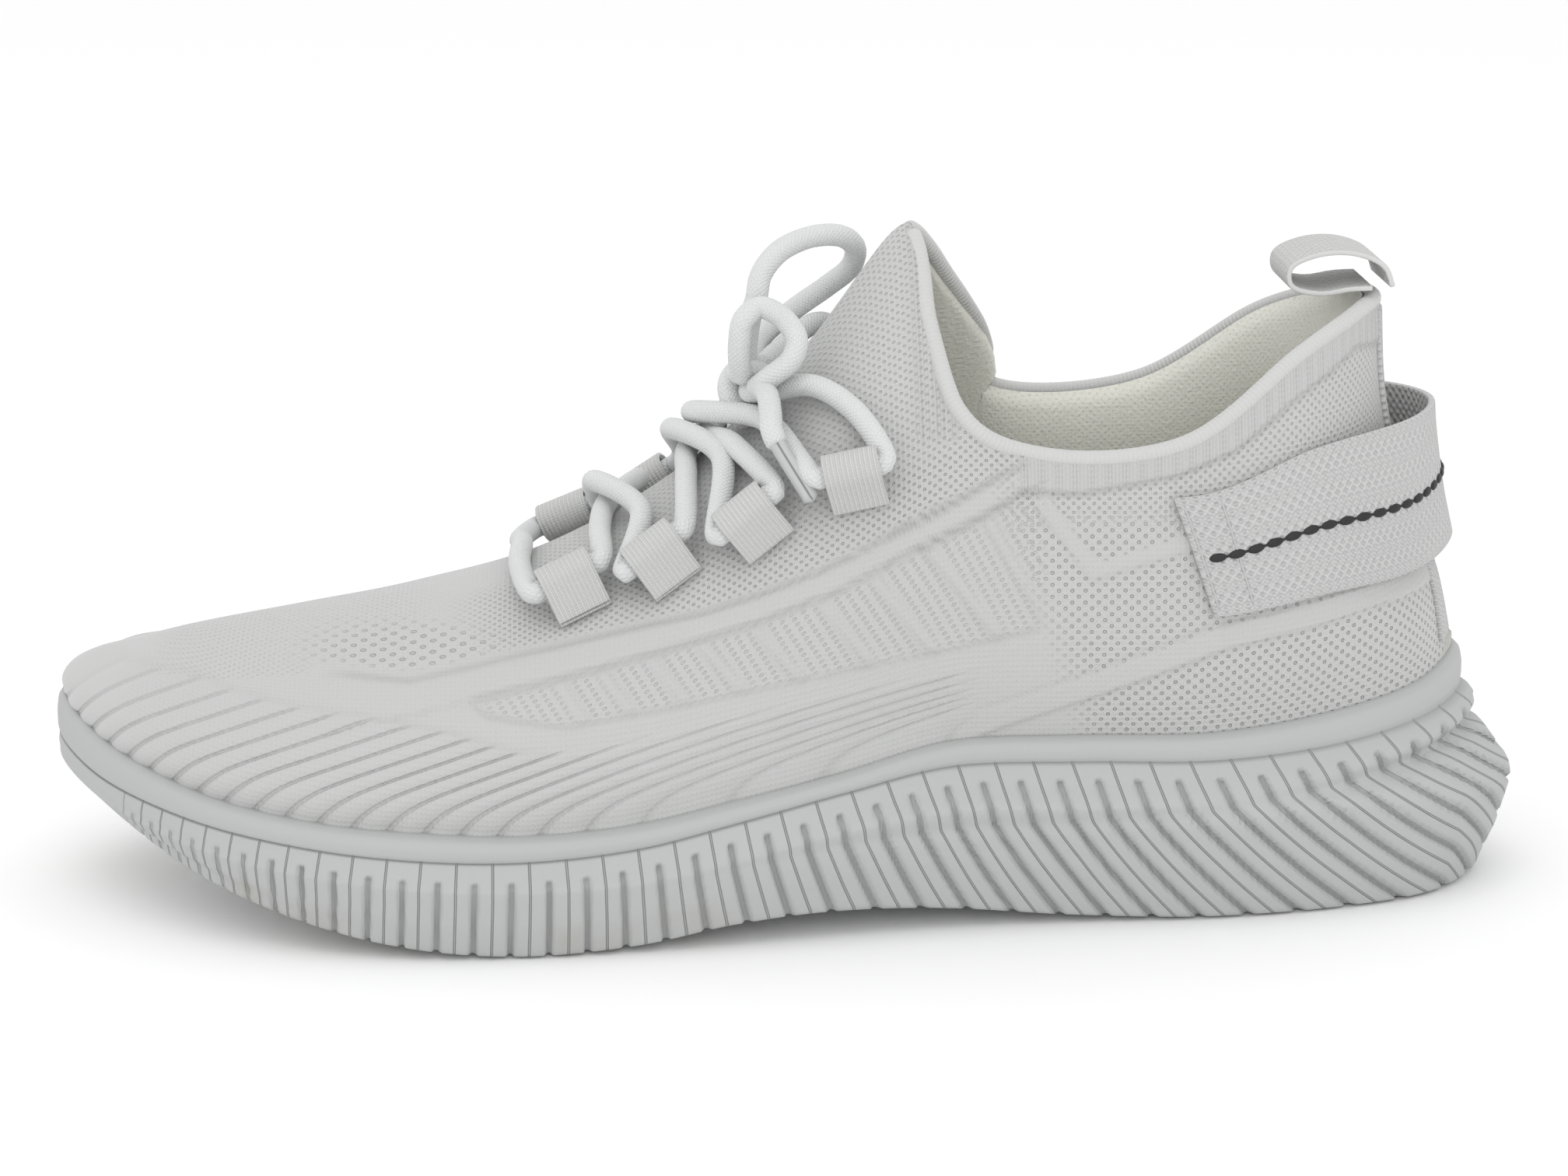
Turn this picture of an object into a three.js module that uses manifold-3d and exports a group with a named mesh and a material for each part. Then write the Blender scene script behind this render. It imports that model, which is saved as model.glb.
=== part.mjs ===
// Knitted running shoe, left foot. Millimetres, +Y to the toe, +Z up, +X to the inner side.
// The upper follows a last: guide curves run from the feather line, where the upper meets
// the sole, up to the collar or to the ridge of the vamp. Every layer is a patch of that
// surface at its own depth, and the sole is a stack of rings round the feather line.
import * as THREE from 'three';
import { mergeVertices } from 'three/addons/utils/BufferGeometryUtils.js';
import Module from 'manifold-3d';

const wasm = await Module();
wasm.setup();

// Driving dimensions
const lengthScale = 1;          // of every y
const widthScale = 1;           // of every x
const heightScale = 1;          // of every z
const gap = 0.35;               // clearance between touching pieces
const knitThickness = 2;
const counterThickness = 1.2;   // heel counter and toe puff
const collarFoamDepth = 4.5;
const liningThickness = 0.9;
const boardThickness = 1.6;
const insoleThickness = 4;
const bedDrop = 6;              // foot bed of the sole below the feather line
const bedInset = knitThickness + 2 * gap;   // edge of the board and the insole
const rimGap = 0.35;            // between the upper and the rim of the sole
const webbing = 1.5;            // heel strap thickness
const strapReach = 3;           // guide at which the heel strap ends
const strapStandOff = [4.3, 7.6];   // behind the heel, at its lower and upper edge
const tapeHalfWidth = 0.5;      // of the heel tape, in guides
const tapeThickness = 1;
const tabWidth = 20;
const tabThickness = 1.1;
const laceDiameter = 4.4;
const laceSteps = 190;
const loopWidth = 10.8;
const loopHeight = 11.5;
const loopTape = 0.8;
const loopSlack = 1;            // round the lace in its loop
const agletDiameter = 3.3;
const flexY = 57;               // axis of the bend across the ball of the foot
const flexZ = 23;
const flexLeanRear = 4;         // degrees: wedge of knit that creases when the toe bends up
const flexLeanFront = 29;

// Guides from heel to toe. axis: x of the middle line at the feather line and at the top.
// points: [half width, y, z] from the feather line to the top.
const guides = [
  {
    axis: [0, 0],
    points: [[0, -134.3, 46], [0, -130.5, 62], [0, -123.8, 79.5], [0, -118.6, 98], [0, -117.2, 118]],
  },
  {
    axis: [0, 0],
    points: [[17, -125, 42.5], [19.5, -123, 58], [19.5, -117.5, 76], [17, -113.5, 97], [12.5, -112, 117]],
  },
  {
    axis: [0.3, 0],
    points: [[28, -106, 39.4], [31.3, -106, 54], [31.3, -103.5, 72], [29, -100.5, 92], [25, -98, 110.8]],
  },
  {
    axis: [0, 0],
    points: [[33, -82, 37], [36.3, -82, 50], [37, -80, 65], [35.5, -77.5, 80.5], [33, -75, 95.3]],
  },
  {
    axis: [-0.3, -0.5],
    points: [[33.8, -55, 37.2], [37.3, -54, 50], [38, -52, 64.5], [36, -49.5, 79.5], [32.3, -47, 93.5]],
  },
  {
    axis: [-1.5, -1],
    points: [[34, -30, 36.8], [38, -30, 53], [37.5, -30, 70.5], [34, -30, 88], [27.5, -30, 104]],
  },
  {
    axis: [-2.5, 0],
    points: [[36.5, -8, 31.5], [39, -10, 54], [34.5, -13.5, 79], [22.5, -18.5, 107], [0, -24.5, 132.5]],
  },
  {
    axis: [-3, 0],
    points: [[39.5, 12, 27.5], [41, 10.5, 46], [35, 8, 66], [21.5, 2.5, 89], [0, -4.5, 108.3]],
  },
  {
    axis: [-2.7, 0],
    points: [[42.5, 31, 24], [44.5, 30, 38], [39, 28, 54], [24.5, 23.5, 71], [0, 17, 86.3]],
  },
  {
    axis: [-1.5, 0],
    points: [[46, 52, 22.9], [48.5, 51.5, 33.5], [44, 50.5, 45.5], [28.5, 48.5, 58.5], [0, 45.5, 68.8]],
  },
  {
    axis: [-0.5, 1],
    points: [[47, 72, 23.8], [49.2, 72.5, 32.5], [45, 73, 42], [29.5, 73.5, 52.5], [0, 73.5, 60.2]],
  },
  {
    axis: [0.8, 2.5],
    points: [[45, 92, 25.3], [46.7, 93, 32.5], [42, 94, 40.5], [27, 95, 49.5], [0, 95.5, 55.5]],
  },
  {
    axis: [2.8, 4],
    points: [[36.8, 113, 28], [38, 114.5, 34], [33.5, 115.5, 40.5], [21, 116, 47], [0, 116, 51.8]],
  },
  {
    axis: [4.5, 5.5],
    points: [[20, 133, 33], [20.5, 134.3, 37.5], [18, 134, 41.8], [11, 131.5, 46], [0, 127, 49.3]],
  },
  {
    axis: [5.5, 6],
    points: [[0, 143.6, 38.5], [0, 144.6, 41.5], [0, 142.3, 44.6], [0, 137.5, 46.9], [0, 132.5, 48.2]],
  },
];
const toeGuide = guides.length - 1;
const wholeLoop = 2 * toeGuide;
const tongueGuide = 6;          // the collar is open behind this guide

// Sole at the same guides: rim [out, z], fold [out, z], lower edge [out, z] and base z,
// with out measured from the feather line.
const soleGuides = [
  [5.3, 37.5, 13.7, 19, 8.2, 2.2, 1],
  [4.6, 36, 12.5, 20.5, 7.5, 1.8, 0],
  [4, 34.3, 9.5, 23, 4.5, 1.2, 0],
  [3.6, 32.8, 9, 24, 3.5, 1.6, 0],
  [3.5, 33.3, 9, 25, 3.5, 2.8, 1.2],
  [3.5, 33.2, 8.7, 25.5, 4.5, 5.6, 3.8],
  [3.8, 29, 8, 22.5, 5, 7, 5],
  [4.3, 24.8, 7.5, 18, 5.3, 5.6, 4],
  [4.3, 20.8, 8, 15, 5.2, 2.4, 1],
  [4.2, 19.2, 7.8, 14.3, 5, 1.2, 0],
  [4.2, 19.8, 7.3, 15, 4.8, 3, 1.5],
  [4, 21.5, 5.6, 16.5, 3.4, 7, 5.2],
  [3.8, 23.8, 4.6, 19, 2.4, 13.5, 11],
  [3, 27, 3, 23, 0.6, 20.5, 18.5],
  [2.2, 31, 2, 27, -0.5, 23.5, 21.5],
];
const baseInset = 9;            // flat underside inside the lower edge

// Lace loops along the throat: guide position and height of the stitched edge
const loopPlaces = [[8.63, 0.73], [7.82, 0.66], [6.87, 0.58], [6.06, 0.54]];
const crossings = [8.6, 8.02, 7.84];   // where the lace crosses itself on the ridge
const barPlace = 9.2;                  // lowest bar of the lace

// Side view of the pull tab, [y, z] round its loop from the seam on the collar
const tabLine = [
  [-118.6, 120.6], [-116.8, 124.6], [-111, 127.2], [-103.6, 127], [-98.4, 124.4],
  [-98.6, 121], [-104, 119.4], [-110.4, 120.2], [-114.6, 120.4],
];
const tabSteps = 26;

// Free lengths of the lace, [x, y, z]
const knot = { centre: [-7.4, 5.4, 102.6], radii: [6, 4.4, 4.4] };
const nearBow = [
  [-10.4, 10, 107.4], [-13.8, 10, 111.7], [-15, 8.9, 117.2], [-14.2, 5.2, 118.8],
  [-15.4, 1.2, 116.6], [-18.4, -1.4, 113], [-20, -0.4, 109.6], [-19.8, 2.4, 107.2], [-17, 4, 106.2],
];
const farBow = [
  [-6.6, 7, 109.2], [-7.4, 7.4, 114], [-7.5, 6.4, 119.4], [-4.5, 3.4, 125],
  [-0.5, -2, 128.6], [4, -7.5, 129.6], [9.6, -12.4, 127.4], [15, -13, 122],
  [18.6, -9.4, 117], [18, -3, 113], [12, 4.6, 109.4], [2.2, 7.8, 106.2],
];
const nearEnd = [[-16, 6.8, 101.2], [-20, 6, 101.4], [-26, 5, 101.8], [-32, 4.4, 100.4]];
const nearAglet = [[-33, 4.2, 99.6], [-42.6, -3, 87.6]];
const farEnd = [[0.8, 9.2, 100.6], [7, 8, 101.6], [15, 5, 102.4], [24, 3, 101.8], [29.4, 2.8, 99.6]];
const farAglet = [[30.3, 2.6, 98.9], [41, -1.4, 88.3]];

// ---------------------------------------------------------------- the last

function sized([x, y, z]) {
  return new THREE.Vector3(x * widthScale, y * lengthScale, z * heightScale);
}

function cubic(a, b, c, d, u) {
  return 0.5 * (2 * b + (c - a) * u + (2 * a - 5 * b + 4 * c - d) * u * u
    + (3 * b - a - 3 * c + d) * u * u * u);
}

function blendRows(rows, u) {
  return rows[0].map((_, k) => cubic(rows[0][k], rows[1][k], rows[2][k], rows[3][k], u));
}

function beyond(end, before) {
  return end.map((value, k) => 2 * value - before[k]);
}

// Half width, y, z and middle line of guide k at height t, with the guides mirrored
// past the heel and past the toe.
function guidePoint(k, t) {
  const mirrored = k < 0 || k > toeGuide;
  const index = k < 0 ? -k : k > toeGuide ? wholeLoop - k : k;
  const { axis, points } = guides[index];
  const last = points.length - 1;
  const height = THREE.MathUtils.clamp(t, 0, 1);
  const span = Math.min(Math.floor(height * last), last - 1);
  const closed = points[last][0] === 0 && index >= tongueGuide && index < toeGuide;
  const pick = (j) => {
    if (j < 0) return beyond(points[0], points[1]);
    if (j <= last) return points[j];
    const shoulder = points[last - 1];
    return closed ? [-shoulder[0], shoulder[1], shoulder[2]] : beyond(points[last], shoulder);
  };
  const rows = [-1, 0, 1, 2].map((j) => pick(span + j));
  const [half, y, z] = blendRows(rows, height * last - span);
  return [mirrored ? -half : half, y, z, THREE.MathUtils.lerp(axis[0], axis[1], height)];
}

// Guides count 0 at the heel, 14 at the toe and back to 28 at the heel on the inner side.
function foldGuide(s) {
  const around = ((s % wholeLoop) + wholeLoop) % wholeLoop;
  return around > toeGuide ? { s: wholeLoop - around, side: 1 } : { s: around, side: -1 };
}

function lastPoint(at, t) {
  const { s, side } = foldGuide(at);
  const span = Math.min(Math.floor(s), toeGuide - 1);
  const rows = [-1, 0, 1, 2].map((j) => guidePoint(span + j, t));
  const [half, y, z, middle] = blendRows(rows, s - span);
  return sized([middle + side * Math.max(half, 0), y, z]);
}

function isRidge(at) {
  return foldGuide(at).s >= tongueGuide;
}

function lastNormal(s, t) {
  const step = 0.001;
  const along = lastPoint(s + step, t).sub(lastPoint(s - step, t));
  const up = lastPoint(s, Math.min(t + step, 1)).sub(lastPoint(s, Math.max(t - step, 0)));
  if (t >= 1 && isRidge(s)) {
    const forward = Math.sign(along.y) || 1;      // the ridge is one line for both sides
    return new THREE.Vector3(0, -along.z * forward, along.y * forward).normalize();
  }
  return up.cross(along).normalize();
}

function onLast(s, t, out) {
  return lastPoint(s, t).addScaledVector(lastNormal(s, t), out);
}

function featherOut(s, out) {
  const normal = lastNormal(s, 0).setZ(0).normalize();
  return lastPoint(s, 0).addScaledVector(normal, out);
}

// ---------------------------------------------------------------- solids

function tidySolid(geometry) {
  geometry.deleteAttribute('normal');
  geometry.deleteAttribute('uv');
  const merged = mergeVertices(geometry, 1e-4);
  const index = merged.getIndex().array;
  const kept = [];
  for (let i = 0; i < index.length; i += 3) {
    const [a, b, c] = [index[i], index[i + 1], index[i + 2]];
    if (a !== b && b !== c && c !== a) kept.push(a, b, c);
  }
  merged.setIndex(kept);
  return merged;
}

function solidFromFaces(points, faces) {
  const geometry = new THREE.BufferGeometry().setFromPoints(points);
  geometry.setIndex(faces);
  return tidySolid(geometry);
}

// Closed plate between two grids of points, outer[i][j] and inner[i][j]. Wrapped grids
// close on themselves in i, and a top edge is left open where skipTop says it is a weld.
function plate(outer, inner, { wrapped = false, skipTop = () => false } = {}) {
  const columns = outer.length;
  const rows = outer[0].length;
  const points = [...outer.flat(), ...inner.flat()];
  const at = (layer, i, j) => layer * columns * rows + (i % columns) * rows + j;
  const faces = [];
  const quad = (a, b, c, d) => faces.push(a, b, c, a, c, d);
  const lastColumn = wrapped ? columns : columns - 1;
  for (let i = 0; i < lastColumn; i += 1) {
    for (let j = 0; j < rows - 1; j += 1) {
      quad(at(0, i, j), at(0, i, j + 1), at(0, i + 1, j + 1), at(0, i + 1, j));
      quad(at(1, i, j), at(1, i + 1, j), at(1, i + 1, j + 1), at(1, i, j + 1));
    }
    quad(at(0, i, 0), at(0, i + 1, 0), at(1, i + 1, 0), at(1, i, 0));
    if (!skipTop(i)) {
      const top = rows - 1;
      quad(at(0, i, top), at(1, i, top), at(1, i + 1, top), at(0, i + 1, top));
    }
  }
  if (!wrapped) {
    for (let j = 0; j < rows - 1; j += 1) {
      const end = columns - 1;
      quad(at(0, 0, j), at(1, 0, j), at(1, 0, j + 1), at(0, 0, j + 1));
      quad(at(0, end, j), at(0, end, j + 1), at(1, end, j + 1), at(1, end, j));
    }
  }
  return solidFromFaces(points, faces);
}

function spread(from, to, count) {
  return Array.from({ length: count + 1 }, (_, i) => THREE.MathUtils.lerp(from, to, i / count));
}

// Patch of the last from guide s0 to s1 and height t0 to t1, between two depths that may
// change with height.
function patch(s0, s1, t0, t1, outerDepth, innerDepth, columns, rows) {
  const grid = (depth) => spread(s0, s1, columns).map((s) =>
    spread(t0, t1, rows).map((t) => onLast(s, t, -depth(t))));
  return plate(grid(outerDepth), grid(innerDepth));
}

function toManifold(geometry) {
  const solid = new wasm.Mesh({
    numProp: 3,
    vertProperties: new Float32Array(geometry.getAttribute('position').array),
    triVerts: new Uint32Array(geometry.getIndex().array),
  });
  return new wasm.Manifold(solid);
}

function fromManifold(solid) {
  const mesh = solid.getMesh();
  const geometry = new THREE.BufferGeometry();
  const positions = new Float32Array(mesh.vertProperties);
  geometry.setAttribute('position', new THREE.BufferAttribute(positions, 3));
  geometry.setIndex([...mesh.triVerts]);
  return tidySolid(geometry);
}

// Keeps what lies in front of (+1) or behind (-1) a plane through the flex axis that
// leans forward by so many degrees.
function cutAtFlex(geometry, side, lean) {
  const angle = THREE.MathUtils.degToRad(lean);
  const normal = [0, Math.cos(angle) * side, -Math.sin(angle) * side];
  const offset = normal[1] * flexY * lengthScale + normal[2] * flexZ * heightScale + gap / 2;
  return fromManifold(toManifold(geometry).trimByPlane(normal, offset));
}

// ---------------------------------------------------------------- sole and foot bed

const ringSteps = 2;            // columns for each guide
const ringPlaces = spread(0, wholeLoop, wholeLoop * ringSteps).slice(0, -1);

function soleRow(at) {
  const { s } = foldGuide(at);
  const span = Math.min(Math.floor(s), toeGuide - 1);
  const pick = (k) => soleGuides[k < 0 ? -k : k > toeGuide ? wholeLoop - k : k];
  return blendRows([-1, 0, 1, 2].map((j) => pick(span + j)), s - span);
}

function ringPoint(s, out, z) {
  return featherOut(s, out).setZ(z * heightScale);
}

// Side of the sole at one place, from the foot bed over the rim to the underside
function soleProfile(s) {
  const [rimOut, rimZ, foldOut, foldZ, edgeOut, edgeZ, baseZ] = soleRow(s);
  const feather = lastPoint(s, 0).z / heightScale;
  const lowerOut = foldOut - 0.2 * (foldOut - edgeOut);
  return [
    [-bedInset, feather - bedDrop],
    [rimGap, feather - bedDrop],
    [rimGap, feather - 0.4],
    [rimOut * 0.55, feather + 0.5],
    [rimOut, THREE.MathUtils.lerp(feather, rimZ, 0.45)],
    [rimOut - 0.3, rimZ],
    [THREE.MathUtils.lerp(rimOut, foldOut, 0.5), THREE.MathUtils.lerp(rimZ, foldZ, 0.6)],
    [foldOut, foldZ],
    [lowerOut, THREE.MathUtils.lerp(foldZ, edgeZ, 0.5)],
    [edgeOut, Math.max(edgeZ, 0.8)],
    [edgeOut - baseInset, Math.max(baseZ, 0)],
  ].map(([out, z]) => ringPoint(s, out, z));
}

// Stack of rings closed by a ladder of bars across the top ring and the bottom ring
function ringStack(profiles) {
  const columns = profiles.length;
  const rows = profiles[0].length;
  const at = (i, j) => (i % columns) * rows + j;
  const faces = [];
  for (let i = 0; i < columns; i += 1) {
    for (let j = 0; j < rows - 1; j += 1) {
      faces.push(at(i, j), at(i + 1, j), at(i + 1, j + 1));
      faces.push(at(i, j), at(i + 1, j + 1), at(i, j + 1));
    }
  }
  const half = columns / 2;
  for (let i = 0; i < half; i += 1) {
    const [a, b] = [i, i + 1];
    const [c, d] = [(columns - i - 1) % columns, (columns - i) % columns];
    const top = 0;
    const base = rows - 1;
    faces.push(at(a, top), at(c, top), at(b, top), at(a, top), at(d, top), at(c, top));
    faces.push(at(a, base), at(b, base), at(c, base), at(a, base), at(c, base), at(d, base));
  }
  return solidFromFaces(profiles.flat(), faces);
}

function soleUnit() {
  return ringStack(ringPlaces.map(soleProfile));
}

// Flat layer inside the upper, between two heights measured from the feather line
function bedLayer(low, high) {
  return ringStack(ringPlaces.map((s) => {
    const feather = lastPoint(s, 0).z / heightScale;
    return [high, low].map((z) => ringPoint(s, -bedInset, feather + z));
  }));
}

// ---------------------------------------------------------------- upper

function knitUpper() {
  const heights = spread(0, 1, 8);
  const column = (depth) => (s) => {
    const wall = heights.map((t) => onLast(s, t, -depth));
    const foot = featherOut(s, -depth).setZ(lastPoint(s, 0).z - (bedDrop - rimGap) * heightScale);
    return [foot, ...wall];
  };
  const ridgeWeld = (i) => isRidge(ringPlaces[i]) && isRidge(ringPlaces[(i + 1) % ringPlaces.length]);
  const outer = ringPlaces.map(column(0));
  const inner = ringPlaces.map(column(knitThickness));
  return plate(outer, inner, { wrapped: true, skipTop: ridgeWeld });
}

function foamDepth(t) {
  const along = THREE.MathUtils.clamp((t - 0.5) / 0.46, 0, 1);
  return Math.max(collarFoamDepth * Math.sin(Math.PI * along) ** 0.7, 0.6);
}

function liningDepth(t) {
  const below = counterThickness + gap;
  return knitThickness + gap + Math.max(below, t > 0.5 ? foamDepth(t) + 2.5 * gap : 0);
}

// ---------------------------------------------------------------- straps, tapes and laces

// Strip that follows the last between two edges, each [height at the heel, rise, bend]
function strapGrid(reach, lowEdge, highEdge, outAt, rows) {
  const edge = ([base, rise, bend], s) => base + rise * Math.abs(s) + bend * s * s;
  return spread(-1, 1, 36).map((place) => spread(0, 1, rows).map((across) => {
    const s = place * (reach + 0.16 * across);
    const t = THREE.MathUtils.lerp(edge(lowEdge, s), edge(highEdge, s), across);
    return onLast(s, t, outAt(s, across));
  }));
}

function strapOut(s, across) {
  const away = 1 - THREE.MathUtils.smoothstep(Math.abs(s), 0, 2.4);
  return gap + away * THREE.MathUtils.lerp(strapStandOff[0], strapStandOff[1], across);
}

const strapLow = [0.33, 0.04, 0];
const strapHigh = [0.71, 0, 0.013];

function heelStrap() {
  const inner = strapGrid(strapReach, strapLow, strapHigh, strapOut, 3);
  const outer = strapGrid(strapReach, strapLow, strapHigh, (s, across) => strapOut(s, across) + webbing, 3);
  return plate(outer, inner);
}

function strapThread() {
  const middle = (offset) => [0.52 + offset, 0.02, 0.0065];
  const out = (lift) => (s) => strapOut(s, 0.5) + webbing + gap + lift;
  const low = middle(-0.012);
  const high = middle(0.012);
  return plate(strapGrid(strapReach, low, high, out(0.6), 1), strapGrid(strapReach, low, high, out(0), 1));
}

function closedOutline(points) {
  return new THREE.Shape(points.map(([a, b]) => new THREE.Vector2(a, b)));
}

// Loop of tape in its own frame: x along the throat, y up the tape, z off the shoe
function laceLoop() {
  const channel = laceDiameter / 2 + loopSlack;
  const round = channel + loopTape;
  const centre = new THREE.Vector2(loopHeight - round, round);
  const outline = new THREE.Shape();
  outline.moveTo(0, 0);
  outline.lineTo(centre.x, 0);
  outline.absarc(centre.x, centre.y, round, -Math.PI / 2, Math.PI * 0.62, false);
  outline.lineTo(0, 2 * loopTape + 0.3);
  const hole = new THREE.Path();
  hole.absarc(centre.x, centre.y, channel, 0, Math.PI * 2, true);
  outline.holes.push(hole);
  const options = { depth: loopWidth, bevelEnabled: false, curveSegments: 6 };
  const body = new THREE.ExtrudeGeometry(outline, options);
  body.translate(0, 0, -loopWidth / 2);
  return tidySolid(body);
}

// Frame of a loop: origin at the middle of its stitched edge
function loopFrame(index, side) {
  const [s, t] = loopPlaces[index];
  const at = side < 0 ? s : wholeLoop - s;
  const off = lastNormal(at, t);
  const next = lastPoint(at + side * 0.2, t);
  const along = next.sub(lastPoint(at - side * 0.2, t));
  along.addScaledVector(off, -along.dot(off)).normalize();
  const up = new THREE.Vector3().crossVectors(off, along).normalize();
  if (up.z < 0) up.negate();
  const lean = THREE.MathUtils.degToRad(9);
  const tape = up.clone().multiplyScalar(Math.cos(lean)).addScaledVector(off, Math.sin(lean));
  const outward = off.clone().multiplyScalar(Math.cos(lean)).addScaledVector(up, -Math.sin(lean));
  return { origin: onLast(at, t, gap), along, tape, outward };
}

function loopMatrix({ origin, tape, outward }) {
  const across = new THREE.Vector3().crossVectors(tape, outward);
  return new THREE.Matrix4().makeBasis(tape, outward, across).setPosition(origin);
}

// Middle of the lace where it runs through a loop, moved along it
function inLoop(index, side, shift) {
  const { origin, along, tape, outward } = loopFrame(index, side);
  const round = laceDiameter / 2 + loopSlack + loopTape;
  return origin.clone().addScaledVector(tape, loopHeight - round).addScaledVector(outward, round)
    .addScaledVector(along, shift);
}

function through(index, side, direction) {
  const shifts = [-0.64, -0.48, 0, 0.48, 0.64].map((share) => share * loopWidth * direction);
  return shifts.map((shift) => inLoop(index, side, shift));
}

// Strand from loop a on one side over the ridge to loop b on the other
function strand(a, b, side, ridgeHeight) {
  const crossing = crossings[Math.min(a, b)];
  const place = (s, which) => (which < 0 ? s : wholeLoop - s);
  const shoulder = (index, which) => {
    const [s, t] = loopPlaces[index];
    const at = place(THREE.MathUtils.lerp(s, crossing, 0.62), which);
    return onLast(at, THREE.MathUtils.lerp(t, 1, 0.66), 3.4);
  };
  return [shoulder(a, side), onLast(crossing, 1, ridgeHeight), shoulder(b, -side)];
}

// The lace from the knot down one side, across the lowest bar and up the other side
function lacedRoute() {
  const radius = laceDiameter / 2;
  const low = radius + gap;
  const high = low + laceDiameter + gap + 0.3;
  const points = [[7.05, 0.88], [6.6, 0.82], [6.15, 0.72]].map(([s, t]) => onLast(s, t, 3.2));
  points.push(...through(3, -1, -1));
  points.push(...strand(3, 2, -1, high));
  points.push(...through(2, 1, -1));
  points.push(...strand(2, 1, 1, low));
  points.push(...through(1, -1, -1));
  points.push(...strand(1, 0, -1, high));
  points.push(...through(0, 1, -1));
  const bar = [[wholeLoop - barPlace, 0.92], [barPlace, 1], [barPlace, 0.92]];
  points.push(...bar.map(([s, t]) => onLast(s, t, low)));
  points.push(...through(0, -1, 1));
  points.push(...strand(0, 1, -1, low));
  points.push(...through(1, 1, 1));
  points.push(...strand(1, 2, 1, high));
  points.push(...through(2, -1, 1));
  points.push(...strand(2, 3, -1, low));
  points.push(...through(3, 1, 1));
  const rise = [[6.15, 0.72], [6.6, 0.84], [7.1, 0.94]];
  points.push(...rise.map(([s, t]) => onLast(wholeLoop - s, t, 3.2)), onLast(7.3, 1, 4));
  return points;
}

function cord(points, steps, diameter = laceDiameter) {
  const curve = new THREE.CatmullRomCurve3(points, false, 'centripetal');
  const section = new THREE.Shape();
  const sides = 8;
  for (let k = 0; k < sides; k += 1) {
    const angle = (2 * Math.PI * k) / sides;
    const corner = [Math.cos(angle) * diameter / 2, Math.sin(angle) * diameter / 2];
    if (k === 0) section.moveTo(...corner);
    else section.lineTo(...corner);
  }
  return tidySolid(new THREE.ExtrudeGeometry(section, { steps, bevelEnabled: false, extrudePath: curve }));
}

function rod([from, to], diameter) {
  const [a, b] = [sized(from), sized(to)];
  const direction = b.clone().sub(a);
  const geometry = new THREE.CylinderGeometry(diameter / 2, diameter / 2, direction.length(), 10);
  geometry.rotateX(Math.PI / 2);
  const turn = new THREE.Quaternion().setFromUnitVectors(new THREE.Vector3(0, 0, 1), direction.normalize());
  geometry.applyQuaternion(turn);
  geometry.translate(...a.add(b).multiplyScalar(0.5).toArray());
  return tidySolid(geometry);
}

function knotBody() {
  const geometry = new THREE.SphereGeometry(1, 14, 9);
  geometry.scale(...knot.radii);
  geometry.translate(...sized(knot.centre).toArray());
  return tidySolid(geometry);
}

// Webbing folded into a loop that leans forward over the collar
function pullTab() {
  const middle = new THREE.SplineCurve(tabLine.map(([y, z]) => {
    return new THREE.Vector2(y * lengthScale, z * heightScale);
  }));
  const line = middle.getSpacedPoints(tabSteps);
  const side = (out) => line.map((point, i) => {
    const before = line[Math.max(i - 1, 0)];
    const after = line[Math.min(i + 1, line.length - 1)];
    const tangent = after.clone().sub(before).normalize();
    return [point.x - tangent.y * out, point.y + tangent.x * out];
  });
  const outline = closedOutline([...side(tabThickness / 2), ...side(-tabThickness / 2).reverse()]);
  const body = new THREE.ExtrudeGeometry(outline, { depth: tabWidth, bevelEnabled: false });
  const basis = new THREE.Matrix4().makeBasis(
    new THREE.Vector3(0, 1, 0), new THREE.Vector3(0, 0, 1), new THREE.Vector3(1, 0, 0));
  body.applyMatrix4(basis);
  body.translate(-tabWidth / 2, 0, 0);
  return tidySolid(body);
}

// ---------------------------------------------------------------- assembly

const finish = {
  foam: { color: 0xb9bbba, roughness: 0.7, metalness: 0 },
  knit: { color: 0xc9cbca, roughness: 0.95, metalness: 0 },
  lining: { color: 0xbfbfb5, roughness: 0.95, metalness: 0 },
  board: { color: 0xd2cbb8, roughness: 0.9, metalness: 0 },
  plastic: { color: 0xb0b0ac, roughness: 0.6, metalness: 0 },
  webbing: { color: 0xcfd1cf, roughness: 0.85, metalness: 0 },
  thread: { color: 0x101010, roughness: 0.8, metalness: 0 },
  lace: { color: 0xd6dada, roughness: 0.9, metalness: 0 },
  aglet: { color: 0xdfe3e4, roughness: 0.2, metalness: 0 },
};

const shoe = new THREE.Group();

function add(name, geometry, finishName) {
  const mesh = new THREE.Mesh(geometry, new THREE.MeshStandardMaterial(finish[finishName]));
  mesh.name = name;
  shoe.add(mesh);
}

function addSplit(name, geometry, finishName) {
  add(`${name}_rear`, cutAtFlex(geometry, -1, 0), finishName);
  add(`${name}_front`, cutAtFlex(geometry, 1, 0), finishName);
}

addSplit('sole_unit', soleUnit(), 'foam');
const boardBase = -bedDrop + gap;
addSplit('strobel_board', bedLayer(boardBase, boardBase + boardThickness), 'board');
const insoleBase = boardBase + boardThickness + gap;
addSplit('insole', bedLayer(insoleBase, insoleBase + insoleThickness), 'lining');

const upper = knitUpper();
add('knit_upper_rear', cutAtFlex(cutAtFlex(upper, -1, -flexLeanRear), -1, 0), 'knit');
add('knit_upper_front', cutAtFlex(cutAtFlex(upper, 1, flexLeanFront), 1, 0), 'knit');
add('knit_upper_flex', cutAtFlex(cutAtFlex(upper, 1, -flexLeanRear), -1, flexLeanFront), 'knit');

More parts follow.
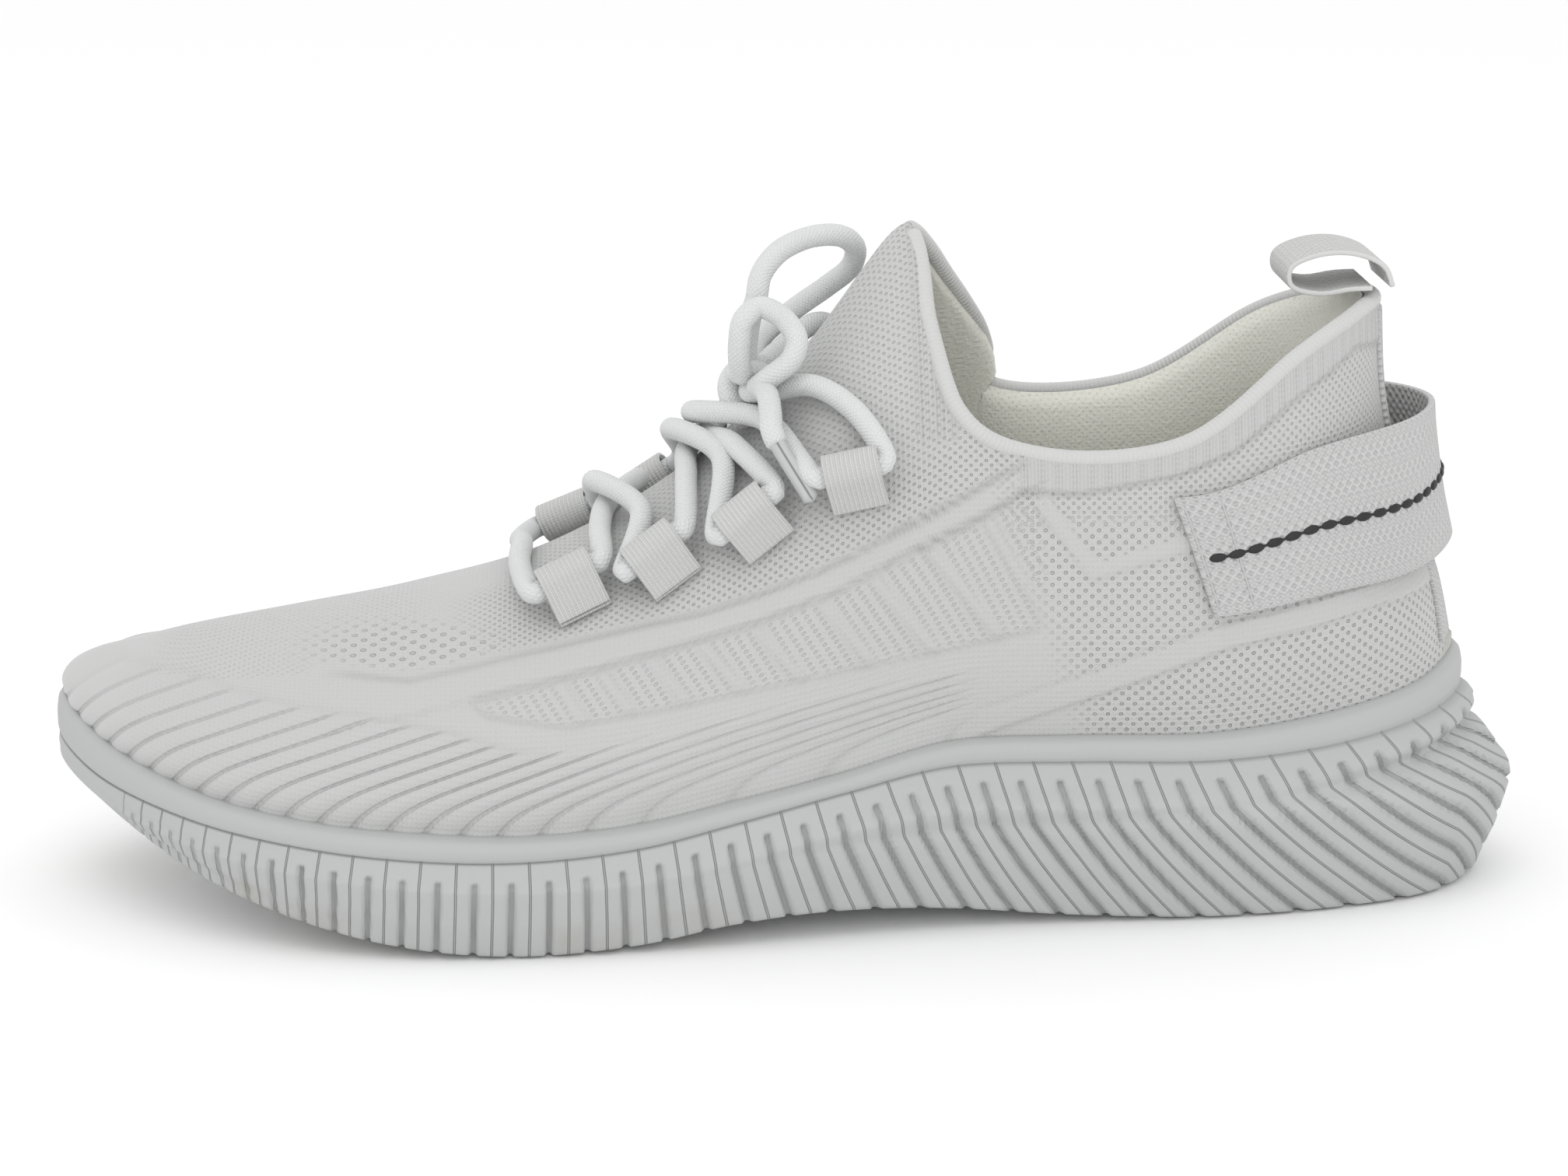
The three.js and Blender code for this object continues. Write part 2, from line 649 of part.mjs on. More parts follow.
const under = () => knitThickness + gap;
add('heel_counter', patch(-2.5, 2.5, 0.125, 0.5, under, () => under() + counterThickness, 10, 3), 'plastic');
add('toe_puff', patch(12, 16, 0.125, 0.75, under, () => under() + counterThickness, 8, 5), 'plastic');
const foamFace = () => knitThickness + 2 * gap;
add('collar_foam', patch(-5, 5, 0.54, 0.94, foamFace, (t) => foamFace() + foamDepth(t), 20, 5), 'foam');
const liningFace = (t) => liningDepth(t) + liningThickness;
add('heel_lining', patch(-5.5, 5.5, 0.08, 0.97, liningDepth, liningFace, 22, 8), 'lining');

const lace = lacedRoute();
const laceRun = toManifold(cord(lace, laceSteps, laceDiameter + 2 * gap));
loopPlaces.forEach((_, index) => {
  for (const [side, word] of [[-1, 'outer'], [1, 'inner']]) {
    const loop = laceLoop().applyMatrix4(loopMatrix(loopFrame(index, side)));
    add(`lace_loop_${word}_${index + 1}`, fromManifold(toManifold(loop).subtract(laceRun)), 'webbing');
  }
});

add('lace_laced', cord(lace, laceSteps), 'lace');
add('lace_knot', knotBody(), 'lace');
add('lace_bow_outer', cord(nearBow.map(sized), 16), 'lace');
add('lace_bow_inner', cord(farBow.map(sized), 20), 'lace');
add('lace_end_outer', cord(nearEnd.map(sized), 5), 'lace');
add('lace_end_inner', cord(farEnd.map(sized), 8), 'lace');
add('aglet_outer', rod(nearAglet, agletDiameter), 'aglet');
add('aglet_inner', rod(farAglet, agletDiameter), 'aglet');

const tapeOut = (out) => spread(-tapeHalfWidth, tapeHalfWidth, 6).map((s) =>
  spread(0.06, 0.97, 9).map((t) => onLast(s, t, gap + out)));
add('heel_tape', plate(tapeOut(tapeThickness), tapeOut(0)), 'webbing');
add('heel_strap', heelStrap(), 'webbing');
add('strap_thread', strapThread(), 'thread');
add('pull_tab', pullTab(), 'webbing');

// Stand the shoe on z = 0 with its outline centred on the origin
const box = new THREE.Box3().setFromObject(shoe, true);
const centre = box.getCenter(new THREE.Vector3());
shoe.children.forEach((mesh) => mesh.geometry.translate(-centre.x, -centre.y, -box.min.z));

export default shoe;
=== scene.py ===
import math
import bpy
import bmesh
import numpy as np
from mathutils import Matrix, Vector


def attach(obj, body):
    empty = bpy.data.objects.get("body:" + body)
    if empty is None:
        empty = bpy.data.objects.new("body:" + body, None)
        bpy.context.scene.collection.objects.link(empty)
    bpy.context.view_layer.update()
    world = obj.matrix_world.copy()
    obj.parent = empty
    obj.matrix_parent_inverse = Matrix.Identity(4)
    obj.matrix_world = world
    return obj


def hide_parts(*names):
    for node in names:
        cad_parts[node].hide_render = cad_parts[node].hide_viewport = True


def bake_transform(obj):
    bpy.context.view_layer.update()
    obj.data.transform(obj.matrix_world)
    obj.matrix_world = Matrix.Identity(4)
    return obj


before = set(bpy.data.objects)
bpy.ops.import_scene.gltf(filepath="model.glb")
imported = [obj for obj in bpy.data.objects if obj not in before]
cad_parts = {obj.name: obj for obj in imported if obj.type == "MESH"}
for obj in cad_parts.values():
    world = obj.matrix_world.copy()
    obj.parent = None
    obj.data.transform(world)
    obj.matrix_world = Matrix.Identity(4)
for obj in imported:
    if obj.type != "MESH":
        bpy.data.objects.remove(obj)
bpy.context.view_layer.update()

mm = 0.001
fullTurn = 2 * math.pi
shoeShift = np.array([0.85, 1.1, 0.0])  # the solids are centred on their outline


def toMetres(points):
    return (np.asarray(points, float) + shoeShift) * mm


def smoothStep(x, low, high):
    t = np.clip((np.asarray(x, float) - low) / (high - low), 0, 1)
    return t * t * (3 - 2 * t)


def between(x, riseFrom, riseTo, fallFrom, fallTo):
    return smoothStep(x, riseFrom, riseTo) * smoothStep(-x, -fallTo, -fallFrom)


def arcAlong(points):
    return np.concatenate([[0], np.cumsum(np.linalg.norm(np.diff(points, axis=0), axis=1))])


def nearestStep(u, count):
    return np.clip(np.round(u * count).astype(int), 0, count)


def addObject(name, data):
    thing = bpy.data.objects.new(name, data)
    bpy.context.collection.objects.link(thing)
    return thing


def meshFrom(bm, name):
    mesh = bpy.data.meshes.new(name)
    bm.to_mesh(mesh)
    bm.free()
    return mesh


# camera

cameraView = {"target": (0, 0, 59), "distance": 800, "elevation": 14.5, "turn": -3, "lens": 91.86}


def makeCamera(v):
    e, d = math.radians(v["elevation"]), math.radians(v["turn"])
    look = Vector((math.cos(e) * math.cos(d), math.cos(e) * math.sin(d), -math.sin(e)))
    data = bpy.data.cameras.new("studioCamera")
    data.lens = v["lens"]
    data.sensor_width = 36
    data.clip_start = 0.02
    camera = addObject("studioCamera", data)
    camera.location = Vector(toMetres(v["target"])) - look * v["distance"] * mm
    camera.rotation_euler = look.to_track_quat("-Z", "Y").to_euler()
    bpy.context.scene.camera = camera


makeCamera(cameraView)
print("camera placed")

# the last: guide curves from the feather line to the collar or the ridge of the vamp, and where the
# middle of each stands at its foot and its top

lastForm = {
    "axis": [(0, 0), (0, 0), (0.3, 0), (0, 0), (-0.3, -0.5), (-1.5, -1), (-2.5, 0), (-3, 0), (-2.7, 0),
             (-1.5, 0), (-0.5, 1), (0.8, 2.5), (2.8, 4), (4.5, 5.5), (5.5, 6)],
    "guides": [
        [(0, -134.3, 46), (0, -130.5, 62), (0, -123.8, 79.5), (0, -118.6, 98), (0, -117.2, 118)],
        [(17, -125, 42.5), (19.5, -123, 58), (19.5, -117.5, 76), (17, -113.5, 97), (12.5, -112, 117)],
        [(28, -106, 39.4), (31.3, -106, 54), (31.3, -103.5, 72), (29, -100.5, 92), (25, -98, 110.8)],
        [(33, -82, 37), (36.3, -82, 50), (37, -80, 65), (35.5, -77.5, 80.5), (33, -75, 95.3)],
        [(33.8, -55, 37.2), (37.3, -54, 50), (38, -52, 64.5), (36, -49.5, 79.5), (32.3, -47, 93.5)],
        [(34, -30, 36.8), (38, -30, 53), (37.5, -30, 70.5), (34, -30, 88), (27.5, -30, 104)],
        [(36.5, -8, 31.5), (39, -10, 54), (34.5, -13.5, 79), (22.5, -18.5, 107), (0, -24.5, 132.5)],
        [(39.5, 12, 27.5), (41, 10.5, 46), (35, 8, 66), (21.5, 2.5, 89), (0, -4.5, 108.3)],
        [(42.5, 31, 24), (44.5, 30, 38), (39, 28, 54), (24.5, 23.5, 71), (0, 17, 86.3)],
        [(46, 52, 22.9), (48.5, 51.5, 33.5), (44, 50.5, 45.5), (28.5, 48.5, 58.5), (0, 45.5, 68.8)],
        [(47, 72, 23.8), (49.2, 72.5, 32.5), (45, 73, 42), (29.5, 73.5, 52.5), (0, 73.5, 60.2)],
        [(45, 92, 25.3), (46.7, 93, 32.5), (42, 94, 40.5), (27, 95, 49.5), (0, 95.5, 55.5)],
        [(36.8, 113, 28), (38, 114.5, 34), (33.5, 115.5, 40.5), (21, 116, 47), (0, 116, 51.8)],
        [(20, 133, 33), (20.5, 134.3, 37.5), (18, 134, 41.8), (11, 131.5, 46), (0, 127, 49.3)],
        [(0, 143.6, 38.5), (0, 144.6, 41.5), (0, 142.3, 44.6), (0, 137.5, 46.9), (0, 132.5, 48.2)],
    ],
    "wing": {"reach": 12, "middle": 5.12, "below": 0.64, "above": 0.48, "fade": (5.7, 6), "rise": (0.6, 1)},
    "toe": 14,
    "tongue": 6,
    "ridgeFrom": 0.975,
    "binding": 0.992,
}
toe = lastForm["toe"]
wholeLoop = 2 * toe


def mirroredIndex(k):
    return -k if k < 0 else wholeLoop - k if k > toe else k


def guideTable():
    rows = []
    for k in range(-1, toe + 2):
        i = mirroredIndex(k)
        points = [list(p) for p in lastForm["guides"][i]]
        first = [2 * a - b for a, b in zip(points[0], points[1])]
        shoulder = points[-2]
        beyond = [2 * a - b for a, b in zip(points[-1], shoulder)]
        if lastForm["tongue"] <= i < toe:  # over the ridge to the other side
            beyond = [-shoulder[0], shoulder[1], shoulder[2]]
        row = np.array([first] + points + [beyond], float)
        if k < 0 or k > toe:
            row[:, 0] *= -1
        rows.append(row)
    return np.array(rows)


guideGrid = guideTable()
axisGrid = np.array([lastForm["axis"][mirroredIndex(k)] for k in range(-1, toe + 2)], float)


def cubicWeights(u):
    return np.stack([-0.5 * u + u**2 - 0.5 * u**3, 1 - 2.5 * u**2 + 1.5 * u**3,
                     0.5 * u + 2 * u**2 - 1.5 * u**3, -0.5 * u**2 + 0.5 * u**3])


def foldGuide(s):
    around = np.mod(s, wholeLoop)
    return np.where(around > toe, wholeLoop - around, around), np.where(around > toe, 1.0, -1.0)


def lastPoint(s, t):
    s, t = np.broadcast_arrays(np.asarray(s, float), np.asarray(t, float))
    f, side = foldGuide(s)
    i = np.minimum(np.floor(f), toe - 1).astype(int)
    q = np.clip(t, 0, 1) * 4
    j = np.minimum(np.floor(q), 3).astype(int)
    ws, wt = cubicWeights(f - i), cubicWeights(q - j)
    p = np.zeros(s.shape + (3,))
    middle = np.zeros(s.shape)
    for a in range(4):
        low, high = axisGrid[i + a, 0], axisGrid[i + a, 1]
        middle += ws[a] * (low + (high - low) * np.clip(t, 0, 1))
        for b in range(4):
            p += (ws[a] * wt[b])[..., None] * guideGrid[i + a, j + b]
    p[..., 0] = middle + side * np.maximum(p[..., 0], 0)
    form = lastForm["wing"]  # the tongue reaches further round on the inner side
    spread = np.where(f < form["middle"], form["below"], form["above"])
    wing = form["reach"] * np.exp(-((f - form["middle"]) / spread) ** 2) * (1 - smoothStep(f, *form["fade"]))
    p[..., 1] -= wing * smoothStep(t, *form["rise"]) * (side > 0)
    return p


def unit(v):
    return v / np.maximum(np.linalg.norm(v, axis=-1, keepdims=True), 1e-9)


def lastNormal(s, t):
    step = 0.001
    along = lastPoint(s + step, t) - lastPoint(s - step, t)
    up = lastPoint(s, np.minimum(t + step, 1)) - lastPoint(s, np.maximum(t - step, 0))
    n = unit(np.cross(up, along))
    forward = np.where(along[..., 1] < 0, -1.0, 1.0)
    ridge = unit(np.stack([np.zeros_like(forward), -along[..., 2] * forward, along[..., 1] * forward], -1))
    onRidge = (np.asarray(t) >= lastForm["ridgeFrom"]) & (foldGuide(s)[0] >= lastForm["tongue"])
    return np.where(onRidge[..., None], ridge, n)


def onLast(s, t, out):
    s, t, out = np.broadcast_arrays(np.asarray(s, float), np.asarray(t, float), np.asarray(out, float))
    return lastPoint(s, t) + lastNormal(s, t) * out[..., None]


def featherOut(s, out):
    n = lastNormal(s, np.zeros_like(s))
    n[..., 2] = 0
    return lastPoint(s, np.zeros_like(s)) + unit(n) * np.asarray(out, float)[..., None]


guideSteps = np.linspace(0, toe, 281)


def arcAt(t):
    return arcAlong(lastPoint(guideSteps, np.full_like(guideSteps, t)))


midArc = arcAt(0.4)
rimArc = arcAt(0.0)


def spreadGuides(share):
    # shares 0..1 of the way round become guide places an equal distance apart
    around = np.mod(share, 1) * 2
    folded = np.where(around > 1, 2 - around, around)
    s = np.interp(folded * midArc[-1], midArc, guideSteps)
    return np.where(around > 1, wholeLoop - s, s)


heightRows = np.linspace(0, 1, 41)
heightEvery = 4  # one column of heights for every fourth guide step
heightTable = np.array([arcAlong(lastPoint(np.full_like(heightRows, place), heightRows))
                        for place in guideSteps[::heightEvery]])


def heightArc(s, t):
    top = len(heightRows) - 1
    a, b = foldGuide(s)[0] / guideSteps[heightEvery], np.clip(t, 0, 1) * top
    i, j = np.minimum(a.astype(int), len(heightTable) - 2), np.minimum(b.astype(int), top - 1)
    u, v = a - i, b - j
    low, high = (heightTable[i, k] * (1 - u) + heightTable[i + 1, k] * u for k in (j, j + 1))
    return low * (1 - v) + high * v


def knitPlan(s, t):
    # flat plan of the knit in millimetres: along the shoe, and up from the feather line
    f = foldGuide(s)[0]
    turn = 3.0  # behind this guide the plan follows the arc round the heel
    arc = np.interp(turn, guideSteps, midArc) - np.interp(f, guideSteps, midArc)
    back = lastPoint(np.full_like(f, turn), t)[..., 1] - arc
    return np.where(f >= turn, lastPoint(f, t)[..., 1], back), heightArc(s, t)


# meshes

def gridMesh(name, columns, rows, place, material, uvOf, fields=None, weld=False, flip=False):
    bm = bmesh.new()
    bmesh.ops.create_grid(bm, x_segments=columns, y_segments=rows, size=1)
    mesh = meshFrom(bm, name)
    co = np.empty(len(mesh.vertices) * 3)
    mesh.vertices.foreach_get("co", co)
    co = co.reshape(-1, 3)
    u, v = (co[:, 0] + 1) / 2, (co[:, 1] + 1) / 2
    mesh.vertices.foreach_set("co", toMetres(place(u, v)).ravel())
    corner = np.empty(len(mesh.loops), int)
    mesh.loops.foreach_get("vertex_index", corner)
    layer = mesh.uv_layers.new(name="plan")
    plan = np.stack(uvOf(u, v), -1)
    layer.data.foreach_set("uv", plan[corner].ravel())
    for key, values in (fields(u, v) if fields else {}).items():
        attribute = mesh.attributes.new(key, "FLOAT", "POINT")
        attribute.data.foreach_set("value", values.astype(np.float32))
    return finishMesh(mesh, name, weld, flip, material)


def finishMesh(mesh, name, weld, flip, material):
    bm = bmesh.new()
    bm.from_mesh(mesh)
    if weld:
        bmesh.ops.remove_doubles(bm, verts=bm.verts, dist=2e-5)
    if flip:
        bmesh.ops.reverse_faces(bm, faces=bm.faces)
    for face in bm.faces:
        face.smooth = True
    bm.to_mesh(mesh)
    bm.free()
    mesh.update()
    mesh.materials.append(material)
    return addObject(name, mesh)


def smoothPath(points, spacing):
    # centripetal curve through the points, sampled evenly
    p = np.asarray(points, float)
    p = np.vstack([2 * p[0] - p[1], p, 2 * p[-1] - p[-2]])
    fine = []
    for k in range(1, len(p) - 2):
        a, b, c, d = p[k - 1:k + 3]
        t = np.cumsum([0] + [max(np.linalg.norm(y - x) ** 0.5, 1e-4) for x, y in ((a, b), (b, c), (c, d))])
        for x in np.linspace(t[1], t[2], 24, endpoint=False):
            def mix(q, r, i, j):
                return ((t[j] - x) * q + (x - t[i]) * r) / (t[j] - t[i])
            ab, bc, cd = mix(a, b, 0, 1), mix(b, c, 1, 2), mix(c, d, 2, 3)
            fine.append(mix(mix(ab, bc, 0, 2), mix(bc, cd, 1, 3), 1, 2))
    fine = np.array(fine + [p[-2]])
    arc = arcAlong(fine)
    count = max(int(arc[-1] / spacing), 4)
    even = np.linspace(0, arc[-1], count + 1)
    return np.stack([np.interp(even, arc, fine[:, k]) for k in range(3)], -1), arc[-1]


def framesAlong(path):
    tangent = unit(np.gradient(path, axis=0))
    side = np.zeros_like(path)
    start = np.array([0.3, 0.2, 1.0])
    side[0] = unit(start - tangent[0] * start.dot(tangent[0]))
    for k in range(1, len(path)):
        side[k] = unit(side[k - 1] - tangent[k] * side[k - 1].dot(tangent[k]))
    return side, np.cross(tangent, side)


def cordMesh(name, points, diameter, material, spacing=0.8, around=16, ends=0.35):
    path, length = smoothPath(points, spacing)
    side, other = framesAlong(path)
    count = len(path) - 1

    def place(u, v):
        i = nearestStep(u, count)
        angle = v * fullTurn
        near = np.minimum(u, 1 - u) * length  # the ends draw in to a rounded cap
        cap = np.clip(1 - (1 - np.clip(near / (diameter * ends), 0, 1)) ** 2, 0.0004, 1)
        radius = diameter / 2 * np.sqrt(cap)
        ring = side[i] * np.cos(angle)[:, None] + other[i] * np.sin(angle)[:, None]
        return path[i] + ring * radius[:, None]

    piece = gridMesh(name, count, around, place, material, lambda u, v: (u * length, v), weld=True)
    return piece, path, length


bendForm = {"start": (0, 40, 23), "end": (0, 78, 23)}  # the ball of the foot, between the two bodies


def ridesOn(piece, body, slot, *nodes):
    if body == "bend":
        start, end = (tuple(toMetres(bendForm[key])) for key in ("start", "end"))
        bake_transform(piece)
    else:
        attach(piece, body)
    if nodes:
        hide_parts(*nodes)
    return piece


wallShare = 0.95  # a sewn tape is modelled a little thinner than its solid


def addSolidify(piece, thickness, offset=0.0, bevel=None):
    wall = piece.modifiers.new("wall", "SOLIDIFY")
    wall.thickness = thickness * mm
    wall.offset = offset
    wall.use_even_offset = True
    if bevel:
        edge = piece.modifiers.new("edge", "BEVEL")
        edge.width = bevel * mm
        edge.segments = 2
        edge.limit_method = "ANGLE"
        edge.angle_limit = math.radians(50)
    return piece


# shader maths

class Wire:
    def __init__(self, finish, socket):
        self.finish, self.socket = finish, socket

    def math(self, kind, *others):
        node = self.finish.node("ShaderNodeMath", dict(enumerate((self,) + others)), operation=kind)
        return Wire(self.finish, node.outputs[0])

    def __add__(self, other):
        return self.math("ADD", other)

    def __sub__(self, other):
        return self.math("SUBTRACT", other)

    def __mul__(self, other):
        return self.math("MULTIPLY", other)

    def __rsub__(self, other):
        return (self * -1.0) + other

    __radd__ = __add__
    __rmul__ = __mul__

    def sin(self):
        return self.math("SINE")

    def abs(self):
        return self.math("ABSOLUTE")

    def fraction(self):
        return self.math("FRACT")

    def capped(self):
        return self.math("MINIMUM", 1.0)

    def above(self, low, high):
        sockets = {"Value": self, "From Min": low, "From Max": high}
        node = self.finish.node("ShaderNodeMapRange", sockets, interpolation_type="SMOOTHSTEP")
        return Wire(self.finish, node.outputs[0])


class Finish:
    def __init__(self, name, colour, roughness, **sockets):
        self.material = bpy.data.materials.new(name)
        self.material.use_nodes = True
        self.tree = self.material.node_tree
        self.surface = self.tree.nodes["Principled BSDF"]
        for key, value in {"Base Color": colour, "Roughness": roughness, **sockets}.items():
            self.feed(self.surface.inputs[key], value)

    def node(self, kind, sockets=None, **settings):
        # the settings first, then the values or wires of the sockets
        node = self.tree.nodes.new(kind)
        for key, value in settings.items():
            setattr(node, key, value)
        for key, value in (sockets or {}).items():
            self.feed(node.inputs[key], value)
        return node

    def feed(self, socket, value):
        if isinstance(value, Wire):
            self.tree.links.new(value.socket, socket)
        else:
            socket.default_value = (*value, 1) if socket.type == "RGBA" else value

    def plan(self):
        flat = Wire(self, self.node("ShaderNodeUVMap", uv_map="plan").outputs[0])
        split = self.node("ShaderNodeSeparateXYZ", {0: flat})
        return Wire(self, split.outputs[0]), Wire(self, split.outputs[1])

    def field(self, name):
        return Wire(self, self.node("ShaderNodeAttribute", attribute_name=name).outputs["Fac"])

    def noise(self, scale, detail=2.0):
        place = Wire(self, self.node("ShaderNodeTexCoord").outputs["Object"])
        node = self.node("ShaderNodeTexNoise", {"Scale": scale, "Detail": detail, "Vector": place})
        return Wire(self, node.outputs["Fac"])

    def mixColour(self, factor, first, second):
        # sockets 6 and 7 and output 2 are the ones for colour
        node = self.node("ShaderNodeMix", {0: factor, 6: first, 7: second}, data_type="RGBA")
        return Wire(self, node.outputs[2])

    def colour(self, value):
        self.feed(self.surface.inputs["Base Color"], value)

    def bump(self, height, distance):
        node = self.node("ShaderNodeBump", {"Distance": distance * mm, "Height": height})
        self.feed(self.surface.inputs["Normal"], Wire(self, node.outputs[0]))


def darker(tone, share):
    return tuple(c * share for c in tone)


def dots(a, b, pitch, size):
    # staggered round dots, 1 in a dot and 0 between; pitch is along a row
    rowPitch = pitch * 0.92
    x, y = a * (math.pi / pitch), b * (math.pi / rowPitch)
    wave = x.sin() * y.sin()
    return wave.above(1.0 - size, 1.0 - size * 0.35)


def knitStitches(a, b, pitch):
    # columns of small slanting stitches
    column = (a * (math.pi / pitch)).sin().abs()
    slant = (b * (fullTurn / (pitch * 1.15)) + column * 2.2).sin()
    return column * 0.6 + slant * 0.25


knitPitch = {"coarse": 1.28, "fine": 0.98, "big": 1.95, "lace": 1.15, "stitch": 0.95, "roll": 1.35}
knitTone = {"yarn": (0.505, 0.51, 0.503), "shade": (0.38, 0.385, 0.375), "poreShade": (0.385, 0.388, 0.375)}


def knitFinish():
    f = Finish("whiteKnit", knitTone["yarn"], 0.92, **{"Sheen Weight": 0.25, "Sheen Roughness": 0.5})
    a, b = f.plan()
    coarse = dots(a, b, knitPitch["coarse"], 0.5) * f.field("coarseHoles")
    fine = dots(a, b, knitPitch["fine"], 0.5) * f.field("fineHoles")
    big = dots(a, b, knitPitch["big"], 0.55) * f.field("bigHoles")
    holes = (coarse + fine * 0.8 + big).capped()
    groove = f.field("groove")
    ribs = f.field("ribPhase").fraction()
    ribLine = ((ribs - 0.5).abs() * 2.0).above(0.72, 1.0) * f.field("ribMask")
    rolls = (a * (fullTurn / knitPitch["roll"])).sin() * f.field("collarRibs")
    lace = dots(a + b * 0.55, b, knitPitch["lace"], 0.6) * f.field("lacePanel")
    stitch = knitStitches(a, b, knitPitch["stitch"]) * (1 - f.field("tip"))
    # the holes are painted darker: painted shade inside the holes of the mesh
    tone = f.mixColour(holes, knitTone["yarn"], knitTone["poreShade"])
    shaded = (groove * 0.5 + ribLine * 0.3 + lace * 0.22) + f.noise(60) * 0.06
    f.colour(f.mixColour(shaded.capped(), tone, knitTone["shade"]))
    height = stitch * 0.16 - holes * 0.8 - ribLine * 0.6 - groove * 0.6
    f.bump(height + rolls * 0.22 - lace * 0.3 + f.noise(900, 3) * 0.14, 0.55)
    return f.material


def webbingFinish(name, tone, pitch, depth, acrossRibs=False):
    f = Finish(name, tone, 0.85, **{"Sheen Weight": 0.2})
    a, b = f.plan()
    if acrossRibs:
        weave = (a * (fullTurn / pitch)).sin() * 0.8 + (b * (fullTurn / 0.5)).sin() * 0.2
    else:
        weave = (a * (math.pi / pitch)).sin() * (b * (math.pi / (pitch * 0.8))).sin() * 1.2
        weave += (b * (fullTurn / pitch)).sin() * 0.25
    # the valleys of the weave are painted darker: painted shade
    f.colour(f.mixColour(weave.above(0.0, -1.0) * 0.3 + f.noise(80) * 0.06, tone, darker(tone, 0.62)))
    f.bump(weave + f.noise(1500) * 0.15, depth)
    return f.material


laceTone = (0.68, 0.69, 0.69)


def laceFinish():
    f = Finish("braidedLace", laceTone, 0.85, **{"Sheen Weight": 0.3})
    a, v = f.plan()
    strands = v * (fullTurn * 7)
    braid = ((a * 3.6 + strands).sin() * (a * 3.6 - strands).sin()).abs()
    # the gaps between the strands are painted darker: painted shade
    f.colour(f.mixColour(braid.above(0.3, 0.0) * 0.16, laceTone, darker(laceTone, 0.6)))
    f.bump(braid + f.noise(1800) * 0.5, 0.14)
    return f.material


def liningFinish(name, tone, pitch):
    f = Finish(name, tone, 0.95, **{"Sheen Weight": 0.35})
    a, b = f.plan()
    cells = dots(a, b, pitch, 0.5)
    # the cells are painted darker as painted shade in them; the noise varies the tone at random
    f.colour(f.mixColour(cells * 0.14 + f.noise(45) * 0.14, tone, darker(tone, 0.6)))
    f.bump(f.noise(1100, 3) * 0.8 - cells * 0.2, 0.35)
    return f.material


# the slot tone is painted shade for the slots, thin lines and rim line of the sole
soleTone = {"foam": (0.445, 0.453, 0.45), "slot": (0.27, 0.275, 0.272), "dirt": (0.33, 0.3, 0.24)}


def soleFinish():
    f = Finish("mouldedFoam", soleTone["foam"], 0.62, **{"Specular IOR Level": 0.35})
    part = f.plan()[0].fraction()
    side = f.field("ribbed")
    slot = (part - 0.5).abs().above(0.088, 0.064) * f.field("slotRun") * side
    thin = (part.math("PINGPONG", 0.5)).above(0.045, 0.01) * side
    rim = f.field("rimLine")
    dirt = (f.noise(35, 5).above(0.5, 0.72) * f.field("low")) * 0.55
    # painted shade: the slots, the thin lines between them and the rim line are painted darker with the slot
    # tone
    tone = f.mixColour(slot * 0.5, soleTone["foam"], soleTone["slot"])
    tone = f.mixColour((thin * 0.6 + rim * 0.5).capped(), tone, soleTone["slot"])
    f.colour(f.mixColour(dirt, tone, soleTone["dirt"]))
    f.feed(f.surface.inputs["Roughness"], f.noise(120) * 0.2 + 0.52)
    f.bump(thin * -1.0 - slot * 0.5 - rim * 0.8 + f.noise(2600) * 0.05, 0.4)
    return f.material


def plainFinish(name, tone, roughness, scale=400, depth=0.1):
    f = Finish(name, tone, roughness)
    grain = f.noise(scale, 3)
    f.colour(f.mixColour(grain * 0.3, tone, darker(tone, 0.75)))
    f.bump(grain, depth)
    return f.material


def filmFinish():
    # clear sleeve with the dark line of its overlap
    f = Finish("clearFilm", (0.6, 0.61, 0.61), 0.12, **{"Alpha": 0.7, "Coat Weight": 0.6})
    lap = ((f.plan()[1] * 3.0).fraction() - 0.5).abs().above(0.1, 0.02)
    f.colour(f.mixColour(lap * 0.85, (0.62, 0.63, 0.63), (0.12, 0.12, 0.12)))
    return f.material


knitCloth = knitFinish()
strapCloth = webbingFinish("strapWebbing", (0.565, 0.57, 0.563), 1.15, 0.26)
tapeCloth = webbingFinish("heelTapeWeave", (0.62, 0.625, 0.618), 0.7, 0.2)
loopCloth = webbingFinish("loopTapeRibs", (0.67, 0.675, 0.66), 0.9, 0.22, acrossRibs=True)
tabCloth = webbingFinish("tabWebbing", (0.6, 0.605, 0.595), 1.0, 0.2)
laceCloth = laceFinish()
liningCloth = liningFinish("collarLining", (0.77, 0.77, 0.705), 0.8)
insoleCloth = liningFinish("insoleTextile", (0.55, 0.55, 0.51), 1.1)
soleFoam = soleFinish()
boardFelt = plainFinish("needledBoard", (0.66, 0.62, 0.53), 0.95)
stiffener = plainFinish("stiffener", (0.62, 0.62, 0.6), 0.6)
blackThread = plainFinish("blackThread", (0.012, 0.012, 0.013), 0.55, 900, 0.15)
whiteThread = plainFinish("whiteThread", (0.5, 0.505, 0.5), 0.8, 900, 0.1)
clearFilm = filmFinish()
print("finishes made")

# laces

